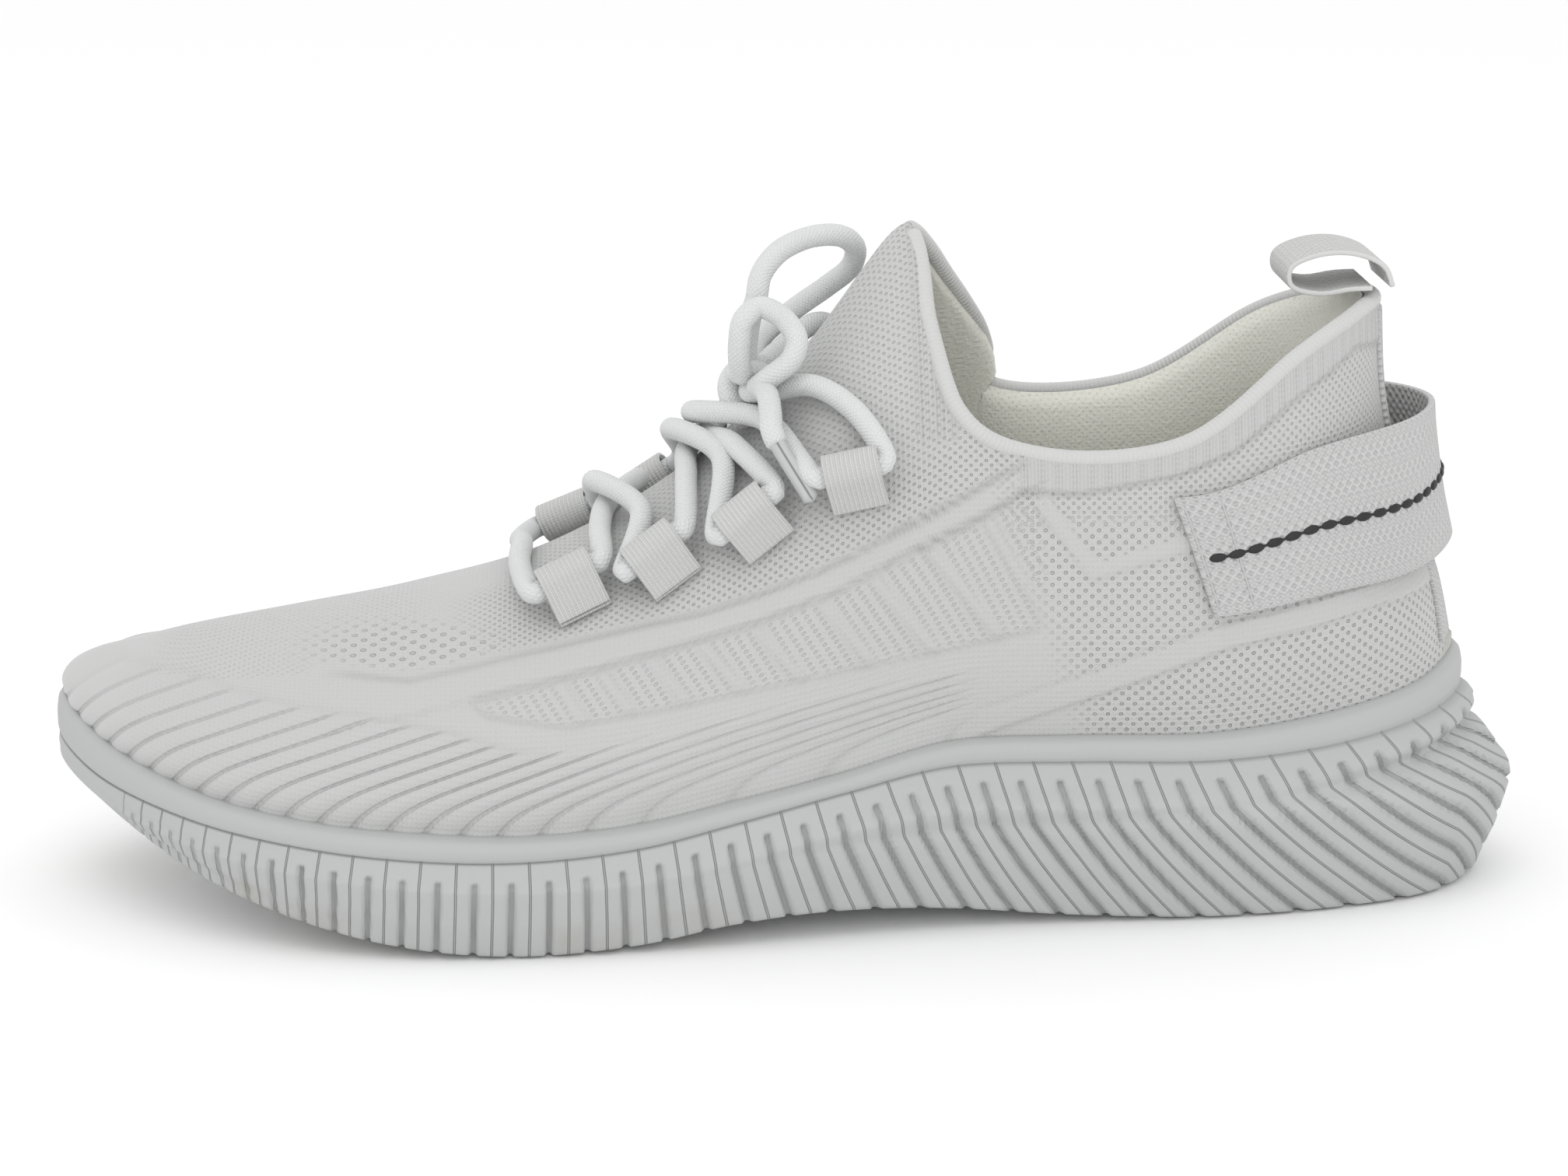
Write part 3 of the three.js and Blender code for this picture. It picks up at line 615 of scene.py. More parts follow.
laceForm = {
    "diameter": 4.4,
    "aglet": 3.4,
    "laced": [
        (-12.4, 3.2, 101.8), (-19.4, -4.5, 104.2), (-28.2, -12.4, 100.6), (-36.4, -17.2, 93.2),
        (-37, -16.1, 92.4), (-36.6, -11.1, 91.3), (-36.2, -6, 90.1), (-36.1, -4.3, 89.8), (-16.1, 4.9, 97),
        (0, 18.2, 95.2), (14.4, 10.7, 91.9), (30.7, 3.6, 86.4), (30.8, 4.9, 85.4), (31, 9, 82.2),
        (31.2, 13.1, 79), (31.3, 14.5, 78), (14.7, 13, 89.6), (0, 19.1, 87.9), (-13.3, 19.8, 84.9),
        (-28.4, 21, 78.3), (-28.7, 22.4, 77.4), (-29.5, 26.6, 74.4), (-30.3, 30.8, 71.5),
        (-30.6, 32.2, 70.5), (-14, 28.8, 78.7), (-0.1, 37.6, 81.5), (11.2, 36.7, 75), (24.2, 37, 71.4),
        (24.5, 38.5, 70.7), (25.4, 43.2, 68.6), (26.2, 47.9, 66.5), (26.5, 49.4, 65.8), (10.4, 52.5, 67.2),
        (0.1, 52.1, 68.8), (-10.3, 52.5, 67.2), (-27.3, 49.4, 65.7), (-27, 47.8, 66.4), (-26.3, 43.1, 68.6),
        (-25.5, 38.4, 70.7), (-25.3, 36.9, 71.4), (-11.7, 36.7, 75), (-0.1, 35.1, 77.1), (13.5, 28.7, 78.7),
        (29.3, 32.1, 70.6), (29, 30.7, 71.6), (28.1, 26.6, 74.5), (27.3, 22.4, 77.5), (27, 21, 78.4),
        (12.7, 19.8, 84.9), (0, 22.2, 91.9), (-15.4, 13, 89.6), (-33.4, 14.5, 78), (-33.3, 13.1, 79),
        (-33, 9.1, 82.2), (-32.7, 5, 85.4), (-32.6, 3.6, 86.4), (-15.2, 10.7, 91.9), (0, 14.8, 91.4),
        (15.3, 4.9, 97), (34, -4.3, 89.7), (34.1, -6, 90), (34.6, -11, 91.1), (35.1, -16.1, 92.3),
        (35.3, -17.7, 92.6), (25.5, -13.9, 104.7), (14.8, -7.2, 110), (5.9, 0.6, 106.3), (0, 4.6, 104.1)],
    "nearBow": [
        (-10.5, 8.5, 103.5), (-13.2, 9.3, 107.5), (-14.8, 9.4, 112), (-15.2, 8.6, 116.4),
        (-14.4, 5.4, 118.6), (-15.2, 1.2, 116.8), (-18, -1.5, 113), (-19.2, -0.4, 109.3),
        (-17.8, 3.6, 105.6), (-12.6, 6.6, 102)],
    "farBow": [
        (-7.6, 8, 103), (-8, 7.8, 109), (-8.3, 7.2, 114.5), (-7.8, 5.8, 119.2), (-5.8, 4.8, 123.4),
        (-3, 1.5, 127.2), (0, -3.1, 129.2), (2.4, -7.5, 129.8), (5.4, -11.8, 129), (9.6, -14.6, 126),
        (14, -14, 121.4), (17.4, -9.6, 117), (16.4, -3, 112.6), (9.6, 4.2, 108), (-1, 7.4, 103.4)],
    "nearEnd": [
        (-2.4, 8.4, 100.2), (-6.6, 7.4, 100), (-11, 6.4, 101.2), (-15.6, 5.2, 103), (-20.6, 4.2, 102.4),
        (-25.4, 3.9, 100), (-29, 3.8, 97.4), (-31.2, 2.6, 94.6)],
    "nearAglet": [(-30.2, 3.3, 96), (-32, 1.4, 93), (-37, -3.6, 85.4)],
    "farEnd": [
        (-1, 8.6, 101.4), (5, 8.6, 101.8), (12, 6.4, 102.4), (19, 4, 102.6), (26, 3, 101.2),
        (30.6, 2.7, 98.8)],
    "farAglet": [(29.6, 2.8, 99.6), (35, 1, 94.2), (41, -1.4, 88.3)],
    "knot": {"centre": (-7.6, 7.2, 101.2), "radius": 4.0, "turns": 1.25, "start": 0.5, "reach": 2.6},
    "knotCore": [(-13.2, 6.8, 101.8), (-9.6, 7.2, 101.2), (-5.6, 7.2, 101.2), (-2, 7.8, 101.6)],
}


def layCord(name, points, width, cloth, spacing, slot, *nodes, **ends):
    piece, path, length = cordMesh(name, points, width, cloth, spacing, **ends)
    ridesOn(piece, "rear", slot, *nodes)
    return piece, path, length


def layLaces(form):
    size, sleeve = form["diameter"], form["aglet"]
    layCord("laceLaced", form["laced"], size, laceCloth, 0.9, "lace", "lace_laced")
    aglets = {}
    for key, node, end in (("nearAglet", "aglet_outer", "nearEnd"), ("farAglet", "aglet_inner", "farEnd")):
        film = layCord(key, form[key], sleeve, clearFilm, 0.6, "aglet", node, ends=0.12)
        core = layCord(key + "Core", form[key], sleeve * 0.62, laceCloth, 0.8, "lace", around=10)
        aglets[end] = [film[0], core[0]]
    for key, node in (("nearBow", "lace_bow_outer"), ("farBow", "lace_bow_inner"),
                      ("nearEnd", "lace_end_outer"), ("farEnd", "lace_end_inner")):
        piece, path, length = layCord(key, form[key], size, laceCloth, 0.7, "lace", node)
        tuple(toMetres(path[0]))
        length * mm
        "fitting" if key in aglets else "object"
        [tuple(p) for p in toMetres(path)]


def tieKnot(form):
    knot = form["knot"]
    x, y, z = knot["centre"]
    steps = np.linspace(0, 1, 22)
    angles = knot["start"] + steps * knot["turns"] * fullTurn
    along = knot["reach"] * (steps * 2 - 1)
    across, up = knot["radius"] * np.cos(angles), knot["radius"] * np.sin(angles)
    wrap = np.stack([x + along, y + across, z + up], -1)
    layCord("laceKnot", wrap, form["diameter"] * 1.02, laceCloth, 0.7, "lace", "lace_knot")
    layCord("laceKnotCore", form["knotCore"], form["diameter"], laceCloth, 0.7, "lace")


layLaces(laceForm)
tieKnot(laceForm)
print("laces laid")

# sole

soleForm = {
    # at each guide: out and height of the rim, of the fold and of the lower edge, then height of the base
    "rows": [
        (2.9, 39.2, 13.7, 20, 8.2, 2.2, 1), (3.1, 37, 12.5, 20.5, 7.5, 1.8, 0),
        (3.5, 34.3, 9.5, 23, 4.5, 1.2, 0), (3.6, 32.8, 9, 24, 3.5, 1.6, 0),
        (3.5, 33.3, 9, 25, 3.5, 2.8, 1.2), (3.5, 33.2, 8.7, 25.5, 4.5, 5.6, 3.8),
        (3.8, 29, 8, 22.5, 5, 7, 5), (4.3, 24.8, 7.5, 18, 5.3, 5.6, 4), (4.3, 20.8, 8, 15, 5.2, 2.4, 1),
        (4.2, 19.2, 7.8, 14.3, 5, 1.2, 0), (4.2, 19.8, 7.3, 15, 4.8, 3, 1.5),
        (4, 21.5, 5.6, 16.5, 3.4, 7, 5.2), (3.8, 23.8, 4.6, 19, 2.4, 13.5, 11),
        (3, 27, 3, 23, 0.6, 20.5, 18.5), (2.2, 31, 2, 27, -0.5, 23.5, 21.5)],
    "pitch": [8.4, 8.2, 8.0, 7.8, 7.6, 7.4, 7.2, 7.0, 6.9, 6.8, 6.4, 6.0, 5.6, 5.4, 5.4],
    "slant": [0.95, 0.95, 0.85, 0.72, 0.6, 0.48, 0.34, 0.2, 0.06, -0.02, -0.06, -0.1, -0.1, -0.05, 0],
    "crease": [
        (32.5, 3.2), (30, 2.6), (26.5, 1.5), (24, 0.8), (22.5, 0.7), (22, 0.6), (20, 0.4), (17, 0.2),
        (14, 0), (12, 0), (12, 0), (12, 0), (14, 0), (16, 0), (16, 0)],
    "slotDepth": 1.5,
    "slotHalf": 0.075,
    "slotDrop": 3.3,
    "ribsEnd": (12.5, 12.9),
    "baseInset": 9,
    "columns": 1150,
    "bands": 74,
}
guideNumbers = range(toe + 1)


def soleRow(s):
    f = foldGuide(s)[0]
    i = np.minimum(np.floor(f), toe - 1).astype(int)
    w = cubicWeights(f - i)
    rows = np.array([soleForm["rows"][mirroredIndex(k)] for k in range(-1, toe + 2)], float)
    return sum(w[a][..., None] * rows[i + a] for a in range(4))


stepPitch = np.interp((guideSteps[1:] + guideSteps[:-1]) / 2, guideNumbers, soleForm["pitch"])
soleArcs = np.concatenate([[0], np.cumsum(np.diff(rimArc) / stepPitch)])  # ribs counted from the heel


def soleSection(s, v):
    # v: 0 inner lip, 0.18 rim, 0.25 line, 0.47 fold, 0.82 lower edge, 0.94 base, 1 middle of the underside
    rimOut, rimZ, foldOut, foldZ, edgeOut, edgeZ, baseZ = np.moveaxis(soleRow(s), -1, 0)
    feather = lastPoint(s, np.zeros_like(s))[..., 2]
    baseZ, edgeZ = np.maximum(baseZ, 0), np.maximum(edgeZ, 0.8)
    topZ = feather + 0.5
    section = [
        (0, -0.4, feather - 2.5),
        (0.05, -0.3, topZ + 0.2),
        (0.10, rimOut * 0.4, topZ + 0.2),
        (0.14, rimOut * 0.84, topZ * 0.85 + rimZ * 0.15),
        (0.18, rimOut, topZ * 0.5 + rimZ * 0.5),
        (0.22, rimOut * 0.99, rimZ * 0.85 + topZ * 0.15),
        (0.25, rimOut - 0.35, rimZ),
        (0.36, rimOut * 0.55 + foldOut * 0.45, rimZ * 0.5 + foldZ * 0.5),
        (0.44, foldOut * 0.96, foldZ + (rimZ - foldZ) * 0.12),
        (0.47, foldOut, foldZ),
        (0.50, foldOut * 0.97, foldZ - (foldZ - edgeZ) * 0.12),
        (0.66, foldOut * 0.55 + edgeOut * 0.45, foldZ * 0.45 + edgeZ * 0.55),
        (0.82, edgeOut + 0.15, edgeZ + 1.2),
        (0.86, edgeOut - 0.4, edgeZ * 0.55 + baseZ * 0.45),
        (0.89, edgeOut - 2, baseZ + 0.15),
        (0.94, edgeOut - soleForm["baseInset"], baseZ),
    ]
    base, out, z = section[-1]
    for (v0, out0, z0), (v1, out1, z1) in zip(section[:-1], section[1:]):
        here = (v >= v0) & (v <= v1)
        w = np.clip((v - v0) / (v1 - v0), 0, 1)
        out, z = np.where(here, out0 * (1 - w) + out1 * w, out), np.where(here, z0 * (1 - w) + z1 * w, z)
    return out, z, np.clip((v - base) / (1 - base), 0, 1), rimZ


def creaseAt(s):
    return [np.interp(foldGuide(s)[0], guideNumbers, column) for column in zip(*soleForm["crease"])]


def ribPhase(s, z, rimZ):
    # ribs lean a little down to the crease and more below it
    f = foldGuide(s)[0]
    pitch, slant = (np.interp(f, guideNumbers, soleForm[key]) for key in ("pitch", "slant"))
    creaseZ = creaseAt(s)[0]
    lean = 0.55 * np.clip(rimZ - z, 0, np.maximum(rimZ - creaseZ, 0))
    lean += 1.15 * np.maximum(np.minimum(rimZ, creaseZ) - z, 0)
    return np.interp(f, guideSteps, soleArcs) + slant * lean / pitch


def slotCut(f, v, z, phase, slotTop):
    half = soleForm["slotHalf"]
    cut = smoothStep(np.abs(np.mod(phase, 1) - 0.5), half + 0.05, half - 0.03)
    cut *= smoothStep(z, slotTop + 0.6, slotTop - 0.8) * (v > 0.25) * (v < 0.93)
    return cut * (1 - smoothStep(f, *soleForm["ribsEnd"])) * (1 - 0.7 * smoothStep(f, 11, 12.2))


def solePlace(u, v):
    s = spreadGuides(u)
    out, z, inward, rimZ = soleSection(s, v)
    cut = slotCut(foldGuide(s)[0], v, z, ribPhase(s, z, rimZ), rimZ - soleForm["slotDrop"])
    line = 0.35 * np.exp(-((v - 0.255) / 0.006) ** 2)
    creaseZ, creaseDepth = creaseAt(s)
    fold = np.exp(-((z - creaseZ) / 1.5) ** 2) - 0.45 * np.exp(-((z - creaseZ - 4) / 2) ** 2)
    fold *= creaseDepth * (v > 0.25) * (v < 0.86)
    p = featherOut(s, out - cut * soleForm["slotDepth"] - fold - line)
    mirrored = featherOut(wholeLoop - s, out)
    p[..., 2] = mirrored[..., 2] = z
    middle = (p + mirrored) / 2
    return p * (1 - inward)[..., None] + middle * inward[..., None]


def soleFields(u, v):
    s = spreadGuides(u)
    _, z, _, rimZ = soleSection(s, v)
    f = foldGuide(s)[0]
    ribbed = smoothStep(v, 0.252, 0.262) * (1 - smoothStep(v, 0.86, 0.9))
    return {
        "ribbed": ribbed * (1 - smoothStep(f, *soleForm["ribsEnd"])),
        "slotRun": smoothStep(z, rimZ - 3.0, rimZ - 3.9),
        "rimLine": np.exp(-((v - 0.256) / 0.008) ** 2),
        "low": smoothStep(v, 0.55, 0.85) * smoothStep(f, 6, 9) * 0.9 + smoothStep(v, 0.84, 0.9) * 0.7,
    }


def solePlan(u, v):
    # counts ribs along the shoe, and millimetres down from the rim
    s = spreadGuides(u)
    _, z, _, rimZ = soleSection(s, v)
    return ribPhase(s, z, rimZ), rimZ - z


sole = gridMesh("soleUnit", soleForm["columns"], soleForm["bands"], solePlace, soleFoam, solePlan,
                soleFields, weld=True, flip=True)
ridesOn(sole, "bend", "foam", "sole_unit_rear", "sole_unit_front")
print("sole moulded")

# knitted upper

upperForm = {
    # the lines lie in the side view: place along the shoe, then height
    "columns": 760,
    "rows": 104,
    "ribPitch": 2.9,
    "ribTop": [
        (150, 36.5), (143, 40.5), (137.5, 44.2), (131.5, 46.8), (116.9, 47.6), (107.9, 46.5), (93.5, 45.4),
        (76.4, 44.5), (65.2, 43.3), (52.1, 39.9), (38, 40.2), (20.5, 44), (-11.9, 49.6), (-30, 53),
        (-47, 56)],
    "bandUp": [
        (92, 49.6), (87.6, 50.1), (73.4, 50.2), (61.4, 52.8), (46.6, 56.4), (28.4, 61), (17.1, 63.6),
        (5.9, 67.4), (-6.7, 72.5), (-17.8, 78.3), (-27.7, 83.2), (-38, 88.7), (-44.2, 91.4)],
    "bandLow": [
        (61.7, 48), (50, 50.6), (38.3, 53.4), (22, 57.6), (6.7, 62.2), (-8, 68), (-20, 74), (-32, 80),
        (-41.3, 84.8)],
    "panelLow": [
        (61.7, 47.6), (58.3, 45.7), (43, 44.1), (20.5, 47.5), (-11.9, 53.3), (-30, 56.6), (-46.5, 60)],
    "bars": [
        ((7.8, 61.6), (-1.8, 51.4)), ((-5.6, 65.6), (-14.9, 54.4)), ((-15, 70.7), (-26.9, 56.2)),
        ((-25.8, 76.1), (-38.6, 59.9)), ((-37, 80.9), (-48.8, 61.4)), ((18, 58.4), (9.5, 49.6)),
        ((28, 56), (20.5, 47.8)), ((37, 53.4), (31, 46.2)), ((45, 51.6), (40.5, 45.4))],
    "chevron": [(-47.5, 84.3), (-57.4, 71.2), (-75.5, 76.3)],
    "diagonal": [(-34, 38), (-37.2, 39.1), (-58.3, 46.6), (-82.7, 55.4), (-113.7, 61.3), (-130, 62)],
    "collarLow": [
        (-41, 86.4), (-54.7, 85.6), (-73.4, 88.7), (-84.9, 93.1), (-96.1, 101.6), (-110.2, 110),
        (-119, 109)],
}


def signedTo(line, y, z):
    # distance to a line in the side view, positive above it when it runs from toe to heel
    points = np.array(line, float)
    best, sign = np.full(y.shape, 1e9), np.zeros(y.shape)
    for a, b in zip(points[:-1], points[1:]):
        d = b - a
        h = np.clip(((y - a[0]) * d[0] + (z - a[1]) * d[1]) / d.dot(d), 0, 1)
        dy, dz = y - a[0] - h * d[0], z - a[1] - h * d[1]
        distance = np.hypot(dy, dz)
        turn = np.sign(d[1] * (y - a[0]) - d[0] * (z - a[1]))
        nearer = distance < best
        best, sign = np.where(nearer, distance, best), np.where(nearer, turn, sign)
    return best * np.where(sign == 0, 1, sign)


def ribField(y, z):
    # each rib starts on the rim and curves over towards the heel
    starts = np.linspace(-60, 150, 421)
    rimY = lastPoint(guideSteps, np.zeros_like(guideSteps))
    rimZ = np.interp(starts, rimY[:, 1], rimY[:, 2])
    phase = (rimZ + 0.36 * starts) / upperForm["ribPitch"]
    out = np.zeros(y.shape)

    def height(k):
        d = np.maximum(starts[k] - y, 0)
        return rimZ[k] + 0.24 * d + 4.4 * (1 - np.exp(-d / 3.1)) + 5.5 * (1 - np.exp(-d / 35))

    low = height(0)
    for k in range(1, len(starts)):
        high = height(k)
        here = (z >= low) & (z < high) & (starts[k] > y)
        w = np.clip((z - low) / np.maximum(high - low, 1e-6), 0, 1)
        out = np.where(here, phase[k - 1] * (1 - w) + phase[k] * w, out)
        low = high
    return np.where(z >= low, phase[-1] + (z - low) / upperForm["ribPitch"], out)


def upperZones(s, t):
    p = lastPoint(s, t)
    y, z = p[..., 1], p[..., 2]
    lines = ("ribTop", "bandUp", "bandLow", "panelLow", "diagonal", "collarLow", "chevron")
    q = {key: signedTo(upperForm[key], y, z) for key in lines}
    up, low = q["bandUp"], q["bandLow"]
    ribMask = smoothStep(-q["ribTop"], -0.3, 0.9) * smoothStep(y, -38, -27)
    ribMask *= 1 - 0.45 * smoothStep(-y, -55, -20)  # the ribs flatten towards the heel
    inPanel = smoothStep(-low, 0.2, 1) * smoothStep(q["panelLow"], 0.2, 1) * between(y, -50, -45, 57, 61)
    bars = [np.exp(-(signedTo(bar, y, z) / 1.35) ** 2) for bar in upperForm["bars"]]
    q.update(y=y, z=z, f=foldGuide(s)[0], ribMask=ribMask, inPanel=inPanel, bars=np.maximum.reduce(bars))
    q["band"] = smoothStep(-up, 0, 0.8) * smoothStep(low, 0, 0.8) * between(y, -47, -42, 84, 92)
    q["chevronBand"] = smoothStep(-np.abs(q["chevron"]), -2.0, -1.2)
    q["diagonalBand"] = smoothStep(-np.abs(q["diagonal"] - 2.2), -2.9, -2.1) * smoothStep(-y, 33, 38)
    q["collarBand"] = smoothStep(q["collarLow"], -0.2, 0.5) * smoothStep(-y, 40, 44)
    return q


def upperRelief(s, t):
    q = upperZones(s, t)
    part = np.abs(np.mod(ribField(q["y"], q["z"]), 1) - 0.5) * 2
    ribs = (1 - part ** 2) * q["ribMask"]
    height = ribs * 0.62 + q["band"] * 0.55 + q["inPanel"] * (q["bars"] - 0.3)
    height += q["chevronBand"] * 0.45 * (1 - q["collarBand"])
    height += (q["diagonalBand"] + q["collarBand"]) * 0.5
    hem = 1 - smoothStep(t, 0, 0.05)  # the knit stands out a little where it meets the rim
    return height + hem * 0.4


def grooveField(q):
    def line(distance, width):
        return np.exp(-(distance / width) ** 2)

    y = q["y"]
    groove = line(q["bandUp"], 0.5) * between(y, -47, -42, 84, 92)
    groove += line(q["bandLow"], 0.5) * between(y, -47, -42, 60, 63)
    groove += line(q["panelLow"], 0.5) * 0.7 * between(y, -50, -45, 60, 63)
    groove += line(q["collarLow"], 0.5) * 0.9 * smoothStep(-y, 40, 44)
    groove += line(np.abs(q["diagonal"] - 2.2) - 2.8, 0.45) * 0.5 * smoothStep(-y, 33, 38)
    groove += line(q["ribTop"], 0.6) * 0.25 * smoothStep(y, 44, 52)
    return np.clip(groove, 0, 1)


def upperFields(u, v):
    s, t = spreadGuides(u), v
    q = upperZones(s, t)
    y, z, f, up = q["y"], q["z"], q["f"], q["bandUp"]
    ridgeSide = smoothStep(up, 0.6, 2.0) * smoothStep(y, -47, -42)
    rear = smoothStep(-y + 0.35 * (z - 60), 44, 56)
    for band in ("chevronBand", "diagonalBand", "collarBand"):
        rear *= 1 - q[band]
    belowDiagonal = smoothStep(-q["diagonal"], 0.8, 2.2)
    fromPatch = np.hypot((y - 74) / 29, (z - 54.2 + 0.08 * (y - 74)) / 4.4)
    bigPatch = smoothStep(-fromPatch, -1.0, -0.3) * smoothStep(up, 0.8, 2) * 0.75
    strip = ridgeSide * smoothStep(-np.abs(up - 4), -5.5, -3.5) * smoothStep(-y, -70, -55)
    tongue = ridgeSide * smoothStep(-y, -58, -45)
    toeTop = smoothStep(y, 60, 80) * ridgeSide * (1 - smoothStep(f, 12, 13))
    upperRear = smoothStep(z, 78, 84) * rear
    fine = strip * 0.8 + tongue * 0.65 + upperRear * 0.8 + 0.25 * toeTop
    return {
        "ribPhase": ribField(y, z),
        "ribMask": q["ribMask"],
        "groove": grooveField(q),
        "coarseHoles": np.clip(rear * (1 - upperRear) * (0.75 + 0.25 * belowDiagonal), 0, 1),
        "fineHoles": np.clip(fine, 0, 1) * (1 - bigPatch),
        "bigHoles": bigPatch,
        "tip": smoothStep(f, 12.4, 13.3),
        "lacePanel": q["inPanel"] * (1 - q["bars"]),
        "collarRibs": np.clip(q["collarBand"] + smoothStep(-np.abs(y + 27), -5, -4) * (z > 96), 0, 1),
    }


def upperPlace(u, v):
    s, t = spreadGuides(u), v
    return onLast(s, t, upperRelief(s, t))


def upperPlan(u, v):
    return knitPlan(spreadGuides(u), v)


upper = gridMesh("knitUpper", upperForm["columns"], upperForm["rows"], upperPlace, knitCloth, upperPlan,
                 upperFields, weld=True, flip=True)
ridesOn(upper, "bend", "knit", "knit_upper_rear", "knit_upper_flex", "knit_upper_front")
print("upper knitted")

# inside: lining, insole, board, stiffeners

liningForm = {"under": 2.5, "foam": 4.5, "pad": 1.6, "edge": 0.4, "toeDrop": 1.5, "down": 0.97}


def liningPlace(u, v):
    s = spreadGuides(u)
    t = 1 - v * liningForm["down"]
    f, side = foldGuide(s)
    collar = 1 - smoothStep(f, 4.6, 6.4)
    rise = np.clip((t - 0.5) / 0.49, 0, 1)
    foam = liningForm["foam"] * np.sin(np.pi * rise) ** 0.7 * (t > 0.5)
    corner = 0.6 * np.exp(-((f - 4.8) / 0.6) ** 2)  # the padding thins where collar and tongue meet
    depth = liningForm["under"] + collar * (foam + liningForm["pad"]) * (1 - corner)
    ridge = smoothStep(f, 5.95, 6.2)  # past the opening the lining stays deep under the ridge
    depth *= smoothStep(v, -0.06, 0.035) * (1 - ridge) + ridge
    p = onLast(s, t, -np.maximum(depth, liningForm["edge"]))
    # deeper still at the tip of the toe
    p[..., 2] -= liningForm["toeDrop"] * smoothStep(f, 12, 12.8) * smoothStep(t, 0.9, 0.975)
    inside = smoothStep(f, 5.6, 6)  # neither half may cross the ridge of the tongue
    p[..., 0] = p[..., 0] * (1 - inside) + side * np.maximum(side * p[..., 0], 0) * inside
    return p


def liningPlan(u, v):
    return knitPlan(spreadGuides(u), 1 - v)


lining = gridMesh("collarLining", 360, 60, liningPlace, liningCloth, liningPlan, weld=True)
ridesOn(lining, "bend", "lining", "heel_lining", "collar_foam")

insoleForm = {"inset": -3.2, "thickness": 3.9, "endGap": 0.02, "lift": 0.1, "curl": 1.2, "heelCurl": 1.5}


def insolePlace(u, v):
    form = insoleForm
    s = form["endGap"] + u * (toe - 2 * form["endGap"])
    outer, inner = (featherOut(at, np.full_like(s, form["inset"])) for at in (s, wholeLoop - s))
    p = outer * (1 - v)[..., None] + inner * v[..., None]
    edge = np.abs(v - 0.5) * 2  # the edges curl up, most at the heel
    p[..., 2] -= form["lift"] - edge ** 4 * (form["curl"] + (1 - smoothStep(s, 3, 6)) * form["heelCurl"])
    return p


insole = gridMesh("insole", 150, 40, insolePlace, insoleCloth, lambda u, v: (u * 280, v * 80), flip=True)
addSolidify(insole, insoleForm["thickness"], -1)
ridesOn(insole, "bend", "lining", "insole_rear", "insole_front")

for cloth, nodeNames in ((boardFelt, ("strobel_board_rear", "strobel_board_front")),
                         (stiffener, ("heel_counter", "toe_puff"))):
    for nodeName in nodeNames:
        for materialSlot in bpy.data.objects[nodeName].material_slots:
            materialSlot.material = cloth

# collar binding: a rolled knit edge round the opening and the tongue

collarForm = {"radius": 1.7, "inset": 0.9, "tone": (0.58, 0.585, 0.575), "ribPitch": 0.9}


def edgeFinish(form):
    f = Finish("knitEdge", knitTone["yarn"], 0.92, **{"Sheen Weight": 0.25})
    ribs = (f.plan()[0] * (fullTurn / form["ribPitch"])).sin()
    f.colour(f.mixColour(ribs.above(0.2, -1.0) * 0.08, form["tone"], knitTone["shade"]))
    f.bump(ribs + f.noise(1200) * 0.8, 0.06)
    return f.material


def bindCollar(form):
    s = np.linspace(-lastForm["tongue"], lastForm["tongue"], 150)
    edge = onLast(np.mod(s, wholeLoop), lastForm["binding"], -form["inset"])
    edge[0, 0] = edge[-1, 0] = 0
    roll, _, _ = cordMesh("collarRoll", edge[::2], form["radius"] * 2, edgeFinish(form), 0.9, around=14)
    ridesOn(roll, "rear", "knit")


bindCollar(collarForm)
print("lining and insole fitted")

# lace loops

loopForm = {
    "places": [(8.63, 0.73), (7.82, 0.66), (6.87, 0.58), (6.06, 0.54)],
    "width": 10.8, "height": 11.5, "tape": 0.8, "slack": 1.0, "lean": 9, "off": 0.35,
}


def loopFrame(index, side):
    s, t = loopForm["places"][index]
    at = s if side < 0 else wholeLoop - s
    off = lastNormal(np.array(at), np.array(t))
    along = lastPoint(at + side * 0.2, t) - lastPoint(at - side * 0.2, t)
    along = unit(along - off * along.dot(off))
    up = unit(np.cross(off, along))
    up *= np.sign(up[2])
    lean = math.radians(loopForm["lean"])
    tape = up * math.cos(lean) + off * math.sin(lean)
    outward = off * math.cos(lean) - up * math.sin(lean)
    return onLast(at, t, loopForm["off"]), along, tape, outward


def loopOutline():
    # up over the base, round the channel of the lace and back down to the foot
    tape = loopForm["tape"]
    channel = laceForm["diameter"] / 2 + loopForm["slack"]
    radius = channel + tape / 2
    centre = (loopForm["height"] - channel - tape, channel + tape)
    angles = np.linspace(-math.pi / 2, math.pi * 0.66, 22)
    arc = [(centre[0] + radius * math.cos(a), centre[1] + radius * math.sin(a)) for a in angles]
    low = [(x, tape / 2) for x in np.linspace(0, centre[0] * 0.9, 6)]
    x1, y1 = arc[-1]
    back = [(x1 * (1 - w), y1 * (1 - w) + (tape * 1.5 + 0.2) * w) for w in np.linspace(0.1, 1, 10)]
    return np.array(low + arc + back)


def makeLoops():
    outline = loopOutline()
    arc = arcAlong(outline)
    for index in range(len(loopForm["places"])):
        for side, word in ((-1, "outer"), (1, "inner")):
            origin, along, tape, outward = loopFrame(index, side)

            def place(u, v):
                x, y = (np.interp(u * arc[-1], arc, outline[:, k])[:, None] for k in (0, 1))
                return origin + tape * x + outward * y + along * ((v - 0.5) * loopForm["width"])[:, None]

            def plan(u, v):
                return (v - 0.5) * loopForm["width"], u * arc[-1]

            node = f"lace_loop_{word}_{index + 1}"
            piece = gridMesh(node.replace("_", "") + "Tape", 48, 10, place, loopCloth, plan)
            addSolidify(piece, loopForm["tape"] * wallShare, 0, 0.22)
            ridesOn(piece, "rear", "webbing", node)


makeLoops()
print("loops sewn")

# heel strap, thread, tape and pull tab

